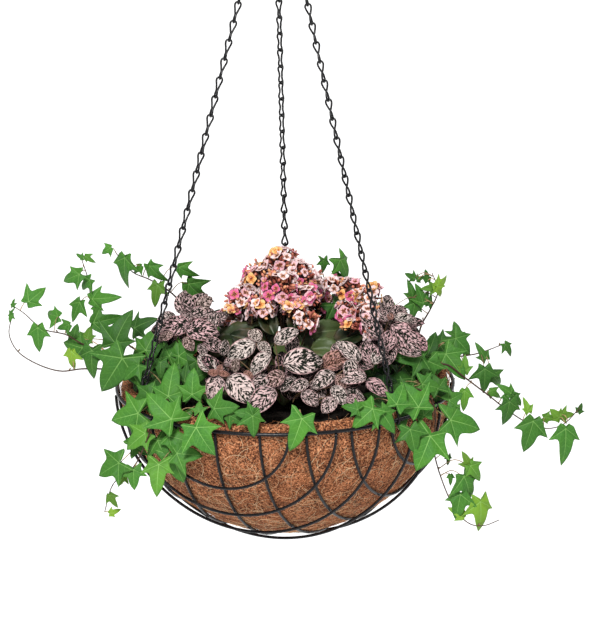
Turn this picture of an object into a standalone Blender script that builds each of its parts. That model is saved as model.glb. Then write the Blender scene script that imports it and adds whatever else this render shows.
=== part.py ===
"""A planted hanging basket, in metres with +Z up.

A wire bowl with a coconut-fibre liner, potting soil and plants hangs on three twisted-link chains
from a ring, a swivel eye and a hook. The origin is where the hook bears on whatever holds it.
Azimuths are measured round +Z from the front (-Y), positive towards +X.
"""

import math

import bmesh
import bpy
from mathutils import Vector

# Wire basket
RIM_RADIUS = 0.1778  # to the wire's centre: a 14 inch basket
RIM_WIRE = 0.0020  # wire radius
HOOP_WIRE = 0.0016
BOWL_DEPTH = 0.1595
BOWL_FULLNESS = 1.9  # 2 would make the bowl's profile an ellipse
HOOP_LAYER = 0.0019  # the two families of hoops lie this far inside and outside the bowl's surface
HOOP_TURN = {"inner": 65.2, "outer": -25.3}  # azimuth of each family's normal
HOOP_STEP = 15.9  # degrees of rim from one hoop's end to the next
HOOPS_EACH_SIDE = 4
HOOP_END_GAP = 0.0043  # from the rim wire's centre down to a hoop's end

# Liner and soil
LINER_GAP = 0.0060  # from the bowl's surface in to the liner
LINER_THICKNESS = 0.011
LINER_RISE = 0.010  # how far the liner stands above the rim
LINER_ROUNDING = 0.002
SOIL_GAP = 0.0006  # the soil's top is level with the rim
BOWL_SEGMENTS = 36
BOWL_STEPS = 9

# Chains, of figure-eight links whose two loops are a quarter turn apart
CHAIN_WIRE = 0.0011
LINK_PITCH = 0.0206
LINK_LENGTH = LINK_PITCH + 2 * CHAIN_WIRE
LINK_HALF_WIDTH = 0.0032
LINK_WAIST = 0.0014
CHAIN_AZIMUTHS = {"left": -60.5, "right": 41.0, "back": 179.0}
CHAIN_RING_ANGLES = {"left": 0.0, "right": -17.0, "back": 17.0}
CHAIN_ROD = 0.0024  # radius of the plain rod that stands for the links between the end links
CONTACT_GAP = 0.0003
TOP_LINK_GAP = 0.0005  # keeps the first links clear of the ring as the basket swings

# Top fitting
HOOK_WIRE = 0.0020
HOOK_INNER_RADIUS = 0.013
SHANK_HEAD_RADIUS = 0.0042
SHANK_HEAD_THICKNESS = 0.003
COLLAR_TOP = -0.046
COLLAR_THICKNESS = 0.003
COLLAR_RADIUS = 0.0095
COLLAR_BORE = 0.0026
EYE_WIRE = 0.00175
EYE_HALF_WIDTH = 0.0068
EYE_DROP = 0.014  # from the collar's underside to the eye wire's lowest centre
RING_WIRE = 0.0016
RING_RADIUS = 0.013
APEX_HEIGHT = 0.578  # from the rim's plane to the ring's lowest wire centre

COLLAR_UNDERSIDE = COLLAR_TOP - COLLAR_THICKNESS
RING_PIVOT_Z = COLLAR_UNDERSIDE - EYE_DROP
RING_CENTRE_Z = RING_PIVOT_Z + EYE_WIRE + RING_WIRE + CONTACT_GAP - RING_RADIUS
RING_SEAT_Z = RING_CENTRE_Z - RING_RADIUS
SWING_AXIS_RISE = 0.0003  # the middle height of the three chains' seats on the ring
BASKET_PIVOT_Z = RING_SEAT_Z + SWING_AXIS_RISE
RIM_Z = RING_SEAT_Z - APEX_HEIGHT

# Planting, measured from the rim's centre
PLANT_BASE = 0.0015
VINE_RADIUS = 0.0014
VINE_SPACING = 0.016


def clear_scene():
    for obj in list(bpy.data.objects):
        bpy.data.objects.remove(obj)


def material(name, colour, roughness, metallic=0.0):
    made = bpy.data.materials.new(name)
    made.use_nodes = True
    shader = made.node_tree.nodes["Principled BSDF"]
    shader.inputs["Base Color"].default_value = (*colour, 1.0)
    shader.inputs["Roughness"].default_value = roughness
    shader.inputs["Metallic"].default_value = metallic
    return made


def pivot(name, parent, height):
    """An empty on the Z axis, at this height in the world."""
    empty = bpy.data.objects.new(name, None)
    bpy.context.collection.objects.link(empty)
    empty.parent = parent
    above = parent.matrix_world.translation.z if parent else 0.0
    empty.location = (0, 0, height - above)
    bpy.context.view_layer.update()
    return empty


def add(name, data, finish, parent):
    obj = bpy.data.objects.new(name, data)
    bpy.context.collection.objects.link(obj)
    data.materials.append(finish)
    obj.parent = parent
    return obj


def around(azimuth, radius, height=0.0):
    """The point at this azimuth in degrees, radius and height."""
    turn = math.radians(azimuth)
    return Vector((radius * math.sin(turn), -radius * math.cos(turn), height))


def bowl_height(radius, rim_radius, depth):
    """How high a bowl's surface is at this radius, its rim being at height 0."""
    share = min(1.0, radius / rim_radius)
    return -depth * (1 - share ** BOWL_FULLNESS) ** (1 / BOWL_FULLNESS)


def bowl_radius(height, rim_radius, depth):
    """The radius at which a bowl's surface has this height."""
    share = min(1.0, -height / depth)
    return rim_radius * (1 - share ** BOWL_FULLNESS) ** (1 / BOWL_FULLNESS)


def smooth_route(points, spacing):
    """Points a fixed spacing apart on a Catmull-Rom curve through the given ones."""
    points = [Vector(p) for p in points]
    ends = [2 * points[0] - points[1], *points, 2 * points[-1] - points[-2]]
    dense = []
    for before, start, end, after in zip(ends, ends[1:], ends[2:], ends[3:]):
        for step in range(24):
            t = step / 24
            dense.append(
                0.5 * ((2 * start) + (end - before) * t
                       + (2 * before - 5 * start + 4 * end - after) * t * t
                       + (3 * start - before - 3 * end + after) * t ** 3)
            )
    dense.append(points[-1])
    lengths = [0.0]
    for a, b in zip(dense, dense[1:]):
        lengths.append(lengths[-1] + (b - a).length)
    count = max(2, round(lengths[-1] / spacing))
    route, at = [], 0
    for i in range(count + 1):
        target = lengths[-1] * i / count
        while at < len(dense) - 2 and lengths[at + 1] < target:
            at += 1
        share = (target - lengths[at]) / (lengths[at + 1] - lengths[at])
        route.append(dense[at].lerp(dense[at + 1], min(1.0, share)))
    return route


def wire(name, route, radius, finish, parent, closed=False, bevel_resolution=1):
    """A round wire along the route, as a bevelled curve with filled ends."""
    curve = bpy.data.curves.new(name, "CURVE")
    curve.dimensions = "3D"
    curve.bevel_depth = radius
    curve.bevel_resolution = bevel_resolution
    curve.use_fill_caps = not closed
    spline = curve.splines.new("POLY")
    spline.points.add(len(route) - 1)
    for point, place in zip(spline.points, route):
        point.co = (*place, 1.0)
    spline.use_cyclic_u = closed
    spline.use_smooth = True
    return add(name, curve, finish, parent)


def turned(name, profile, segments, finish, parent):
    """A solid of revolution about Z. The profile is a chain of (radius, height) that starts and
    ends on the axis."""
    mesh = bpy.data.meshes.new(name)
    bm = bmesh.new()
    rings = []
    for radius, height in profile:
        if radius == 0:
            rings.append([bm.verts.new((0, 0, height))])
        else:
            turns = [360 * i / segments for i in range(segments)]
            rings.append([bm.verts.new(around(a, radius, height)) for a in turns])
    for lower, upper in zip(rings, rings[1:]):
        for i in range(segments):
            corners = [
                lower[i % len(lower)], lower[(i + 1) % len(lower)],
                upper[(i + 1) % len(upper)], upper[i % len(upper)],
            ]
            bm.faces.new(list(dict.fromkeys(corners)))
    bmesh.ops.recalc_face_normals(bm, faces=bm.faces)
    bm.to_mesh(mesh)
    bm.free()
    mesh.shade_smooth()
    mesh.set_sharp_from_angle(angle=math.radians(40))
    return add(name, mesh, finish, parent)


def mound(name, azimuths, radii, top, finish, parent):
    """A low arched body lying round the pot, which comes to a point at both ends."""
    steps, arch, base = 10, 6, PLANT_BASE
    middle, half = sum(radii) / 2, (radii[1] - radii[0]) / 2
    mesh = bpy.data.meshes.new(name)
    bm = bmesh.new()
    sections = []
    for i in range(steps + 1):
        turn = azimuths[0] + (azimuths[1] - azimuths[0]) * i / steps
        size = math.sqrt(max(0.0, 1 - (2 * i / steps - 1) ** 4))
        if size == 0:
            sections.append([bm.verts.new(around(turn, middle, base))])
            continue
        angles = [math.pi * j / arch for j in range(arch + 1)]
        sections.append([
            bm.verts.new(around(turn, middle + half * size * math.cos(a),
                                base + (top - base) * size * math.sin(a)))
            for a in angles
        ])
    for first, second in zip(sections, sections[1:]):
        count = max(len(first), len(second))
        for j in range(count):
            k = (j + 1) % count
            corners = [first[j % len(first)], first[k % len(first)],
                       second[k % len(second)], second[j % len(second)]]
            bm.faces.new(list(dict.fromkeys(corners)))
    bmesh.ops.recalc_face_normals(bm, faces=bm.faces)
    bm.to_mesh(mesh)
    bm.free()
    mesh.shade_smooth()
    return add(name, mesh, finish, parent)


def circle(radius, segments, centre, first, second):
    """Points round a circle in the plane of two unit vectors."""
    turns = [2 * math.pi * i / segments for i in range(segments)]
    return [centre + radius * (math.cos(a) * first + math.sin(a) * second) for a in turns]


def join_by_union(obj, *helpers):
    """Makes obj one body with the helpers, which stay as hidden cutters."""
    for helper in helpers:
        helper.hide_render = True
        helper.display_type = "WIRE"
        union = obj.modifiers.new("join_" + helper.name, "BOOLEAN")
        union.operation = "UNION"
        union.object = helper


def as_mesh(obj):
    """Turns a curve object into a mesh object of the same name."""
    mesh = bpy.data.meshes.new_from_object(obj)
    name, parent = obj.name, obj.parent
    bpy.data.objects.remove(obj)
    made = bpy.data.objects.new(name, mesh)
    bpy.context.collection.objects.link(made)
    made.parent = parent
    return made


# --- wire basket ---------------------------------------------------------------------------------


def make_rim(steel, parent):
    route = circle(RIM_RADIUS, 72, Vector(), Vector((1, 0, 0)), Vector((0, 1, 0)))
    wire("rim_ring", route, RIM_WIRE, steel, parent, closed=True)


def make_hoop(name, family, number, steel, parent):
    """One U-shaped hoop in an upright plane, with both ends under the rim wire."""
    offset = HOOP_LAYER if family == "outer" else -HOOP_LAYER
    radius, depth = RIM_RADIUS + offset, BOWL_DEPTH + offset
    normal = around(HOOP_TURN[family], 1.0)
    along = Vector((-normal.y, normal.x, 0))
    # The hoop's plane crosses the rim this many degrees from the family's normal.
    half_angle = math.radians(90 + number * HOOP_STEP)
    plane = radius * math.cos(half_angle)
    half_span = math.sqrt(bowl_radius(-HOOP_END_GAP, radius, depth) ** 2 - plane ** 2)
    count = 10 + round(14 * math.sin(half_angle))
    route = []
    for i in range(count + 1):
        place = plane * normal + half_span * math.cos(math.pi * i / count) * along
        place.z = bowl_height(place.length, radius, depth)
        route.append(place)
    wire(name, route, HOOP_WIRE, steel, parent)


def make_hoops(steel, parent):
    for family in HOOP_TURN:
        for number in range(-HOOPS_EACH_SIDE, HOOPS_EACH_SIDE + 1):
            name = f"{family}_hoop_{number + HOOPS_EACH_SIDE + 1}"
            make_hoop(name, family, number, steel, parent)


# --- liner and soil ------------------------------------------------------------------------------


def bowl_arc(radius, depth):
    """(radius, height) down a bowl's profile, from the rim's plane to the axis."""
    turns = [math.pi / 2 * i / BOWL_STEPS for i in range(1, BOWL_STEPS)]
    below = [(radius * math.cos(a), bowl_height(radius * math.cos(a), radius, depth))
             for a in turns]
    return [(radius, 0), *below, (0, -depth)]


def make_liner(coir, parent):
    radius, depth = RIM_RADIUS - LINER_GAP, BOWL_DEPTH - LINER_GAP
    inner_radius, inner_depth = radius - LINER_THICKNESS, depth - LINER_THICKNESS
    profile = [
        *reversed(bowl_arc(radius, depth)),
        (radius, LINER_RISE - LINER_ROUNDING), (radius - LINER_ROUNDING, LINER_RISE),
        (inner_radius + LINER_ROUNDING, LINER_RISE), (inner_radius, LINER_RISE - LINER_ROUNDING),
        *bowl_arc(inner_radius, inner_depth),
    ]
    turned("coir_liner", profile, BOWL_SEGMENTS, coir, parent)


def make_soil(soil, parent):
    inset = LINER_GAP + LINER_THICKNESS + SOIL_GAP
    radius, depth = RIM_RADIUS - inset, BOWL_DEPTH - inset
    profile = [*reversed(bowl_arc(radius, depth)), (0, 0)]
    turned("potting_soil", profile, BOWL_SEGMENTS, soil, parent)


# --- chains --------------------------------------------------------------------------------------


def ring_seat(side):
    """The ring wire's centre where a chain hangs, measured from the rim's centre."""
    turn = math.radians(CHAIN_RING_ANGLES[side])
    drop = RING_RADIUS * (1 - math.cos(turn))
    return Vector((0, RING_RADIUS * math.sin(turn), APEX_HEIGHT + drop))


def chain_line(side):
    """(start, direction, across, over): the first link's highest wire centre, the way down the
    chain, and the two directions that its loops spread in."""
    rim_point = around(CHAIN_AZIMUTHS[side], RIM_RADIUS)
    seat = ring_seat(side)
    down = (rim_point - seat).normalized()
    start = seat - down * (RING_WIRE + CHAIN_WIRE + TOP_LINK_GAP)
    tangent = Vector((0, math.cos(math.radians(CHAIN_RING_ANGLES[side])),
                      math.sin(math.radians(CHAIN_RING_ANGLES[side]))))
    across = down.cross(tangent).normalized()
    return start, down, across, down.cross(across).normalized()


def half_link():
    """(drop, half width) down one strand of a link's upper loop, from its top to its waist."""
    bow = [math.radians(a) for a in (0, 30, 60, 90)]
    strand = [(LINK_HALF_WIDTH * (1 - math.cos(a)), LINK_HALF_WIDTH * math.sin(a)) for a in bow]
    taper = LINK_LENGTH / 2 - LINK_HALF_WIDTH
    for share in (0.3, 0.6, 0.85):
        narrowing = math.cos(math.pi / 2 * share) ** 2
        width = LINK_WAIST + (LINK_HALF_WIDTH - LINK_WAIST) * narrowing
        strand.append((LINK_HALF_WIDTH + taper * share, width))
    return strand


def link_route(top, down, across, over):
    """A closed figure eight whose strands make a quarter turn round each other at the waist."""
    upper = half_link()
    strand = upper + [(LINK_LENGTH - drop, width) for drop, width in reversed(upper)]
    round_trip = strand + [(drop, -width) for drop, width in reversed(strand[1:-1])]
    route = []
    for drop, width in round_trip:
        share = min(1.0, max(0.0, (drop / LINK_LENGTH - 0.36) / 0.28))
        twist = math.pi / 2 * share * share * (3 - 2 * share)
        spread = math.cos(twist) * across + math.sin(twist) * over
        route.append(top + down * drop + width * spread)
    return route


def make_rim_hook(side, steel, parent):
    """An open hook under the rim wire, with an eye above it for the chain's last link."""
    rim_point = around(CHAIN_AZIMUTHS[side], RIM_RADIUS)
    _, down, _, _ = chain_line(side)
    up = -down
    tangent = around(CHAIN_AZIMUTHS[side] + 90, 1.0)
    outward = up.cross(tangent).normalized()
    if outward.dot(around(CHAIN_AZIMUTHS[side], 1.0)) < 0:
        outward = -outward
    bend = RIM_WIRE + CHAIN_WIRE + CONTACT_GAP
    route = []
    for degrees in range(200, -1, -20):
        turn = math.radians(-degrees)
        route.append(rim_point + bend * (math.cos(turn) * outward + math.sin(turn) * up))
    eye_radius, eye_height = 0.0036, 0.0150
    eye = rim_point + up * eye_height
    for degrees in range(-60, 241, 25):
        turn = math.radians(degrees)
        route.append(eye + eye_radius * (math.cos(turn) * outward + math.sin(turn) * up))
    wire(f"{side}_rim_hook", smooth_route(route, 0.0016), CHAIN_WIRE, steel, parent)
    return eye + up * (eye_radius - 2 * CHAIN_WIRE - CONTACT_GAP)


def make_chain(side, steel, parent):
    start, down, across, over = chain_line(side)
    wire(f"{side}_top_link", link_route(start, down, across, over), CHAIN_WIRE, steel, parent,
         closed=True)
    bottom = make_rim_hook(side, steel, parent)
    last = bottom - down * LINK_LENGTH
    tangent = around(CHAIN_AZIMUTHS[side] + 90, 1.0)
    outward = down.cross(tangent).normalized()
    wire(f"{side}_rim_link", link_route(last, down, outward, tangent), CHAIN_WIRE, steel, parent,
         closed=True)
    clear = CHAIN_WIRE + CONTACT_GAP
    ends = [start + down * (LINK_LENGTH + clear), last - down * clear]
    wire(f"{side}_chain", ends, CHAIN_ROD, steel, parent)


# --- top fitting ---------------------------------------------------------------------------------


def make_top_hook(steel):
    radius = HOOK_INNER_RADIUS + HOOK_WIRE
    centre = -HOOK_INNER_RADIUS
    route = [(-0.0200, 0, -0.0290), (-0.0165, 0, -0.0215)]
    for degrees in range(180, -1, -20):
        turn = math.radians(degrees)
        route.append((radius * math.cos(turn), 0, centre + radius * math.sin(turn)))
    head_z = COLLAR_UNDERSIDE - 0.0004 - SHANK_HEAD_THICKNESS
    route += [(0.0135, 0, -0.0205), (0.0085, 0, -0.0280), (0.0030, 0, -0.0335),
              (0.0003, 0, -0.0390), (0, 0, -0.0440), (0, 0, head_z + 0.001)]
    hook = as_mesh(wire("top_hook", smooth_route(route, 0.0030), HOOK_WIRE, steel, None))
    head = turned("shank_head", [(0, head_z), (SHANK_HEAD_RADIUS, head_z),
                                 (SHANK_HEAD_RADIUS, head_z + SHANK_HEAD_THICKNESS),
                                 (0, head_z + SHANK_HEAD_THICKNESS)], 16, steel, None)
    join_by_union(hook, head)


def make_swivel_eye(steel, parent):
    """A bored collar that turns on the hook's shank, with a wire eye under it."""
    bend_z = RING_PIVOT_Z + EYE_HALF_WIDTH
    route = [Vector((EYE_HALF_WIDTH, 0, COLLAR_TOP - COLLAR_THICKNESS / 2))]
    for degrees in range(0, 181, 18):
        turn = math.radians(degrees)
        route.append(Vector((EYE_HALF_WIDTH * math.cos(turn), 0,
                             bend_z - EYE_HALF_WIDTH * math.sin(turn))))
    route.append(Vector((-EYE_HALF_WIDTH, 0, COLLAR_TOP - COLLAR_THICKNESS / 2)))
    loop = as_mesh(wire("eye_wire", route, EYE_WIRE, steel, parent))
    mesh = bpy.data.meshes.new("swivel_eye")
    bm = bmesh.new()
    rings = [[bm.verts.new(around(360 * i / 20, radius, height)) for i in range(20)]
             for radius, height in ((COLLAR_BORE, COLLAR_TOP), (COLLAR_RADIUS, COLLAR_TOP),
                                    (COLLAR_RADIUS, COLLAR_UNDERSIDE),
                                    (COLLAR_BORE, COLLAR_UNDERSIDE))]
    for first, second in zip(rings, rings[1:] + rings[:1]):
        for i in range(20):
            k = (i + 1) % 20
            bm.faces.new([first[i], first[k], second[k], second[i]])
    bmesh.ops.recalc_face_normals(bm, faces=bm.faces)
    bm.to_mesh(mesh)
    bm.free()
    collar = add("swivel_eye", mesh, steel, parent)
    join_by_union(collar, loop)


def make_top_ring(steel, parent):
    """The ring that hangs in the eye, measured from its own swing axis."""
    centre = Vector((0, 0, RING_CENTRE_Z - RING_PIVOT_Z))
    route = circle(RING_RADIUS, 24, centre, Vector((0, 1, 0)), Vector((0, 0, 1)))
    wire("top_ring", route, RING_WIRE, steel, parent, closed=True)


# --- planting ------------------------------------------------------------------------------------


def make_plants(leaf, spotted, flower, parent):
    profile = [
        (0, PLANT_BASE), (0.038, PLANT_BASE), (0.046, 0.030), (0.043, 0.060), (0.070, 0.082),
        (0.074, 0.102), (0.056, 0.130), (0.026, 0.146), (0, 0.149),
    ]
    turned("flowering_plant", profile, 18, flower, parent)
    mound("polka_dot_plant_front", (-34, 33), (0.062, 0.150), 0.080, spotted, parent)
    mound("polka_dot_plant_right", (40, 112), (0.058, 0.106), 0.076, spotted, parent)
    mound("polka_dot_plant_left", (-134, -42), (0.058, 0.106), 0.076, spotted, parent)
    mound("polka_dot_plant_back", (146, 214), (0.062, 0.112), 0.076, spotted, parent)
    mound("ivy_left", (-118, -37), (0.110, 0.150), 0.045, leaf, parent)
    mound("ivy_right", (36, 118), (0.110, 0.150), 0.045, leaf, parent)
    mound("ivy_back", (123, 237), (0.116, 0.150), 0.045, leaf, parent)


def make_vines(stem, parent):
    """Trailing ivy stems. Each route's points are across, back and up from the rim's centre."""
    routes = {
        "ivy_vine_left_upper": [
            (-0.104, 0.062, 0.060), (-0.112, 0.062, 0.078), (-0.126, 0.060, 0.092),
            (-0.143, 0.057, 0.103), (-0.160, 0.055, 0.112), (-0.176, 0.052, 0.133)],
        "ivy_vine_left_high": [
            (-0.152, 0.008, 0.036), (-0.168, 0.012, 0.046), (-0.188, 0.018, 0.060),
            (-0.195, 0.020, 0.078), (-0.203, 0.020, 0.094), (-0.206, 0.020, 0.115),
            (-0.212, 0.020, 0.136)],
        "ivy_vine_left_far": [
            (-0.154, -0.010, 0.028), (-0.182, -0.016, 0.042), (-0.212, -0.020, 0.055),
            (-0.230, -0.020, 0.066), (-0.250, -0.020, 0.071), (-0.262, -0.020, 0.079),
            (-0.273, -0.020, 0.090), (-0.284, -0.020, 0.098)],
        "ivy_vine_left_curl": [
            (-0.152, -0.030, 0.022), (-0.180, -0.036, 0.031), (-0.212, -0.040, 0.034),
            (-0.236, -0.040, 0.032), (-0.260, -0.040, 0.040), (-0.280, -0.040, 0.054),
            (-0.289, -0.040, 0.073), (-0.286, -0.040, 0.092)],
        "ivy_vine_front_left": [
            (-0.108, -0.108, 0.022), (-0.124, -0.126, 0.024), (-0.136, -0.138, 0.010),
            (-0.146, -0.136, -0.018), (-0.160, -0.120, -0.050), (-0.182, -0.102, -0.074),
            (-0.192, -0.098, -0.106)],
        "ivy_vine_right_upper": [
            (0.143, 0.053, 0.038), (0.147, 0.053, 0.050), (0.156, 0.052, 0.066),
            (0.164, 0.050, 0.086), (0.158, 0.050, 0.106)],
        "ivy_vine_right_middle": [
            (0.154, -0.008, 0.026), (0.176, -0.010, 0.030), (0.204, -0.010, 0.034),
            (0.232, -0.010, 0.044)],
        "ivy_vine_right_long": [
            (0.150, -0.032, 0.026), (0.170, -0.038, 0.031), (0.188, -0.040, 0.018),
            (0.215, -0.040, -0.004), (0.234, -0.040, -0.020), (0.256, -0.040, -0.035),
            (0.276, -0.040, -0.041), (0.294, -0.040, -0.036), (0.311, -0.040, -0.018)],
        "ivy_vine_front_right": [
            (0.124, -0.092, 0.024), (0.144, -0.104, 0.022), (0.156, -0.110, 0.006),
            (0.156, -0.108, -0.024), (0.156, -0.104, -0.050), (0.166, -0.100, -0.086),
            (0.178, -0.100, -0.112), (0.192, -0.100, -0.126), (0.207, -0.100, -0.128),
            (0.223, -0.100, -0.122)],
        "ivy_vine_back_left": [
            (-0.060, 0.142, 0.026), (-0.072, 0.168, 0.026), (-0.078, 0.184, 0.010),
            (-0.076, 0.186, -0.030), (-0.070, 0.180, -0.075), (-0.066, 0.176, -0.112)],
        "ivy_vine_back_right": [
            (0.066, 0.140, 0.026), (0.082, 0.164, 0.024), (0.090, 0.178, 0.008),
            (0.088, 0.178, -0.030), (0.080, 0.172, -0.070)],
    }
    for name, points in routes.items():
        wire(name, smooth_route(points, VINE_SPACING), VINE_RADIUS, stem, parent)


def main():
    clear_scene()
    steel = material("black_coated_steel", (0.012, 0.012, 0.013), 0.35, 0.6)
    coir = material("coconut_fibre", (0.33, 0.13, 0.045), 0.95)
    soil = material("potting_soil", (0.02, 0.013, 0.009), 1.0)
    leaf = material("ivy_leaf", (0.06, 0.20, 0.03), 0.5)
    stem = material("ivy_stem", (0.16, 0.10, 0.04), 0.6)
    spotted = material("spotted_leaf", (0.50, 0.36, 0.37), 0.6)
    flower = material("pink_flower", (0.75, 0.25, 0.30), 0.6)

    swivel_axis = pivot("swivel_axis", None, 0.0)
    ring_axis = pivot("ring_swing_axis", swivel_axis, RING_PIVOT_Z)
    basket_axis = pivot("basket_swing_axis", ring_axis, BASKET_PIVOT_Z)
    rim_centre = pivot("rim_centre", basket_axis, RIM_Z)

    make_top_hook(steel)
    make_swivel_eye(steel, swivel_axis)
    make_top_ring(steel, ring_axis)
    for side in CHAIN_AZIMUTHS:
        make_chain(side, steel, rim_centre)
    make_rim(steel, rim_centre)
    make_hoops(steel, rim_centre)
    make_liner(coir, rim_centre)
    make_soil(soil, rim_centre)
    make_plants(leaf, spotted, flower, rim_centre)
    make_vines(stem, rim_centre)
    bpy.context.view_layer.update()


main()
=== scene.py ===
"""The looks of the planted hanging basket: wires, chains, coir, soil, leaves and flowers.

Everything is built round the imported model, in metres with +Z up, and laid out from the rim's
centre. The tables of leaves, stems and flowers are in millimetres: across (+X), back (+Y) and up
(+Z). Azimuths are in degrees round +Z from the front (-Y), positive towards +X, as in the model.
"""

import math
import random

import bpy
import numpy as np
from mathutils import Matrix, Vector


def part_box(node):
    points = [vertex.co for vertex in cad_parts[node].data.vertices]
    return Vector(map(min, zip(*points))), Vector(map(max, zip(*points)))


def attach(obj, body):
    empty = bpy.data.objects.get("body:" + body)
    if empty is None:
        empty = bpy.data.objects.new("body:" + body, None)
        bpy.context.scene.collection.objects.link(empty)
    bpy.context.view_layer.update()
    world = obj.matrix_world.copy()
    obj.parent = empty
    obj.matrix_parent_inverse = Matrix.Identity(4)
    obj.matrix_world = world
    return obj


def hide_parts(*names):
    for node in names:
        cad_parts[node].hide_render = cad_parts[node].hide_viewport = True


MM = 0.001

# The model's driving sizes, which the shapes below repeat.
RIM_RADIUS = 0.1778
RIM_WIRE = 0.0020
HOOP_WIRE = 0.0016
BOWL_DEPTH = 0.1595
BOWL_FULLNESS = 1.9  # the power of the bowl's section, 2 being an ellipse
HOOP_LAYER = 0.0019  # how far the outer hoops lie out of the bowl, and the inner ones in
HOOP_TURN = {"inner": 65.2, "outer": -25.3}
HOOP_STEP = 15.9  # degrees round the rim from one hoop's end to the next
HOOPS_EACH_SIDE = 4  # of a family's middle hoop
HOOP_END_GAP = 0.0018  # from the rim's plane down to where a hoop ends
CHAIN_WIRE = 0.0011
LINK_PITCH = 0.0206
LINK_HALF_WIDTH = 0.0032
LINK_WAIST = 0.0014
CHAIN_AZIMUTHS = {"left": -60.5, "right": 41.0, "back": 179.0}
CHAIN_RING_ANGLES = {"left": 0.0, "right": -17.0, "back": 17.0}  # from the ring's lowest point
CONTACT_GAP = 0.0003
TOP_LINK_GAP = 0.0005
RING_WIRE = 0.0016
RING_RADIUS = 0.013
APEX_HEIGHT = 0.578  # of the ring's lowest point above the rim
VINE_RADIUS = 0.0014

# The plants' thin parts.
VINE_SLIMNESS = 0.75  # of a trailing stem against its plain solid
STALK_RADIUS = 0.0007
STALK_BEHIND = 0.0009  # how far behind its leaf a stalk ends
LEAF_THICKNESS = 0.0003
PETAL_THICKNESS = 0.0002
FOLIAGE_THICKNESS = 0.0009

# The liner as it shows: fuller than its plain solid, nearly touching the inner wires.
LINER_OUTSIDE = 0.0046  # from the bowl's surface in to the liner's outside
LINER_THICKNESS = 0.0115
LINER_RISE = 0.0085

# The camera stands far back, as a long lens does.
CAMERA_ELEVATION = 16.5
CAMERA_DISTANCE = 10.0
CAMERA_ROLL = 1.05
CAMERA_AIM = (0.0116, 0.0693)  # right of and above the rim's centre, in the picture's plane
PICTURE_HEIGHT = 0.676  # what the picture's height covers at the object
FLOOR_Z = -1.30
FLOOR_RADIUS = 80.0
SKY_STRENGTH = (0.30, 0.62)  # near the horizon and overhead
HORIZON_GLOW = 0.8  # added at the horizon and below it
# Each sun's azimuth, elevation, strength and softness.
SUNS = {"key": (-14.0, 44.0, 3.8, 12.0), "back_light": (150.0, 50.0, 0.6, 25.0)}

chance = random.Random(14)

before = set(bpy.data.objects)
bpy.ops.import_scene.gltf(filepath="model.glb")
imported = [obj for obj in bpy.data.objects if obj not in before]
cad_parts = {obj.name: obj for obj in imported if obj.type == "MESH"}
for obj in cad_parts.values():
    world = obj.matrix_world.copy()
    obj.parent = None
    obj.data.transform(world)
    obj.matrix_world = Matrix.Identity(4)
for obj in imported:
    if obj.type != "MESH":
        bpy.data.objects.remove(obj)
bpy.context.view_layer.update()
RIM_CENTRE = sum((Vector(corner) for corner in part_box("rim_ring")), Vector()) / 2


def around(azimuth, radius, height=0.0):
    """A point at this azimuth, this far from the upright through the rim's centre."""
    turn = math.radians(azimuth)
    return Vector((radius * math.sin(turn), -radius * math.cos(turn), height))


def bowl_height(radius, rim_radius, depth):
    """How high a bowl's surface is at this radius, its rim being at height 0."""
    share = min(1.0, radius / rim_radius)
    return -depth * (1 - share ** BOWL_FULLNESS) ** (1 / BOWL_FULLNESS)


def bowl_radius(height, rim_radius, depth):
    """The radius at which a bowl's surface has this height."""
    share = min(1.0, -height / depth)
    return rim_radius * (1 - share ** BOWL_FULLNESS) ** (1 / BOWL_FULLNESS)


def smooth_route(points, spacing):
    """Points a fixed spacing apart on a Catmull-Rom curve through the given ones."""
    points = [Vector(p) for p in points]
    ends = [2 * points[0] - points[1], *points, 2 * points[-1] - points[-2]]
    dense = []
    for before, start, end, after in zip(ends, ends[1:], ends[2:], ends[3:]):
        for step in range(24):
            t = step / 24
            dense.append(
                0.5 * ((2 * start) + (end - before) * t
                       + (2 * before - 5 * start + 4 * end - after) * t * t
                       + (3 * start - before - 3 * end + after) * t ** 3)
            )
    dense.append(points[-1])
    lengths = [0.0]
    for a, b in zip(dense, dense[1:]):
        lengths.append(lengths[-1] + (b - a).length)
    count = max(2, round(lengths[-1] / spacing))
    route, at = [], 0
    for i in range(count + 1):
        target = lengths[-1] * i / count
        while at < len(dense) - 2 and lengths[at + 1] < target:
            at += 1
        share = (target - lengths[at]) / (lengths[at + 1] - lengths[at])
        route.append(dense[at].lerp(dense[at + 1], min(1.0, share)))
    return route


# --- meshes --------------------------------------------------------------------------------------


class Shape:
    """Collects points, measured from the rim's centre, and faces. Each point has a place on its
    leaf or tube, and a look."""

    def __init__(self):
        self.points, self.faces, self.places, self.looks = [], [], [], []
        self.count = 0

    def add(self, points, faces, places=None, look=(0.5, 0.0, 0.5)):
        points = np.asarray(points, float)
        places = np.zeros((len(points), 3)) if places is None else places
        self.points.append(points)
        self.places.append(places)
        self.looks.append(np.tile(look, (len(points), 1)))
        self.faces += [[corner + self.count for corner in face] for face in faces]
        self.count += len(points)

    def build(self, name, finish, thickness=0.0):
        mesh = bpy.data.meshes.new(name)
        mesh.from_pydata(np.concatenate(self.points) + np.array(RIM_CENTRE), [], self.faces)
        for attribute, rows in (("place", self.places), ("look", self.looks)):
            data = mesh.attributes.new(attribute, "FLOAT_VECTOR", "POINT").data
            data.foreach_set("vector", np.concatenate(rows).astype(np.float32).ravel())
        mesh.shade_smooth()
        mesh.materials.append(finish)
        obj = bpy.data.objects.new(name, mesh)
        bpy.context.collection.objects.link(obj)
        if thickness:
            solidify = obj.modifiers.new("thickness", "SOLIDIFY")
            solidify.thickness = thickness
            solidify.offset = 0.0
        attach(obj, "basket")
        return obj


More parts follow.
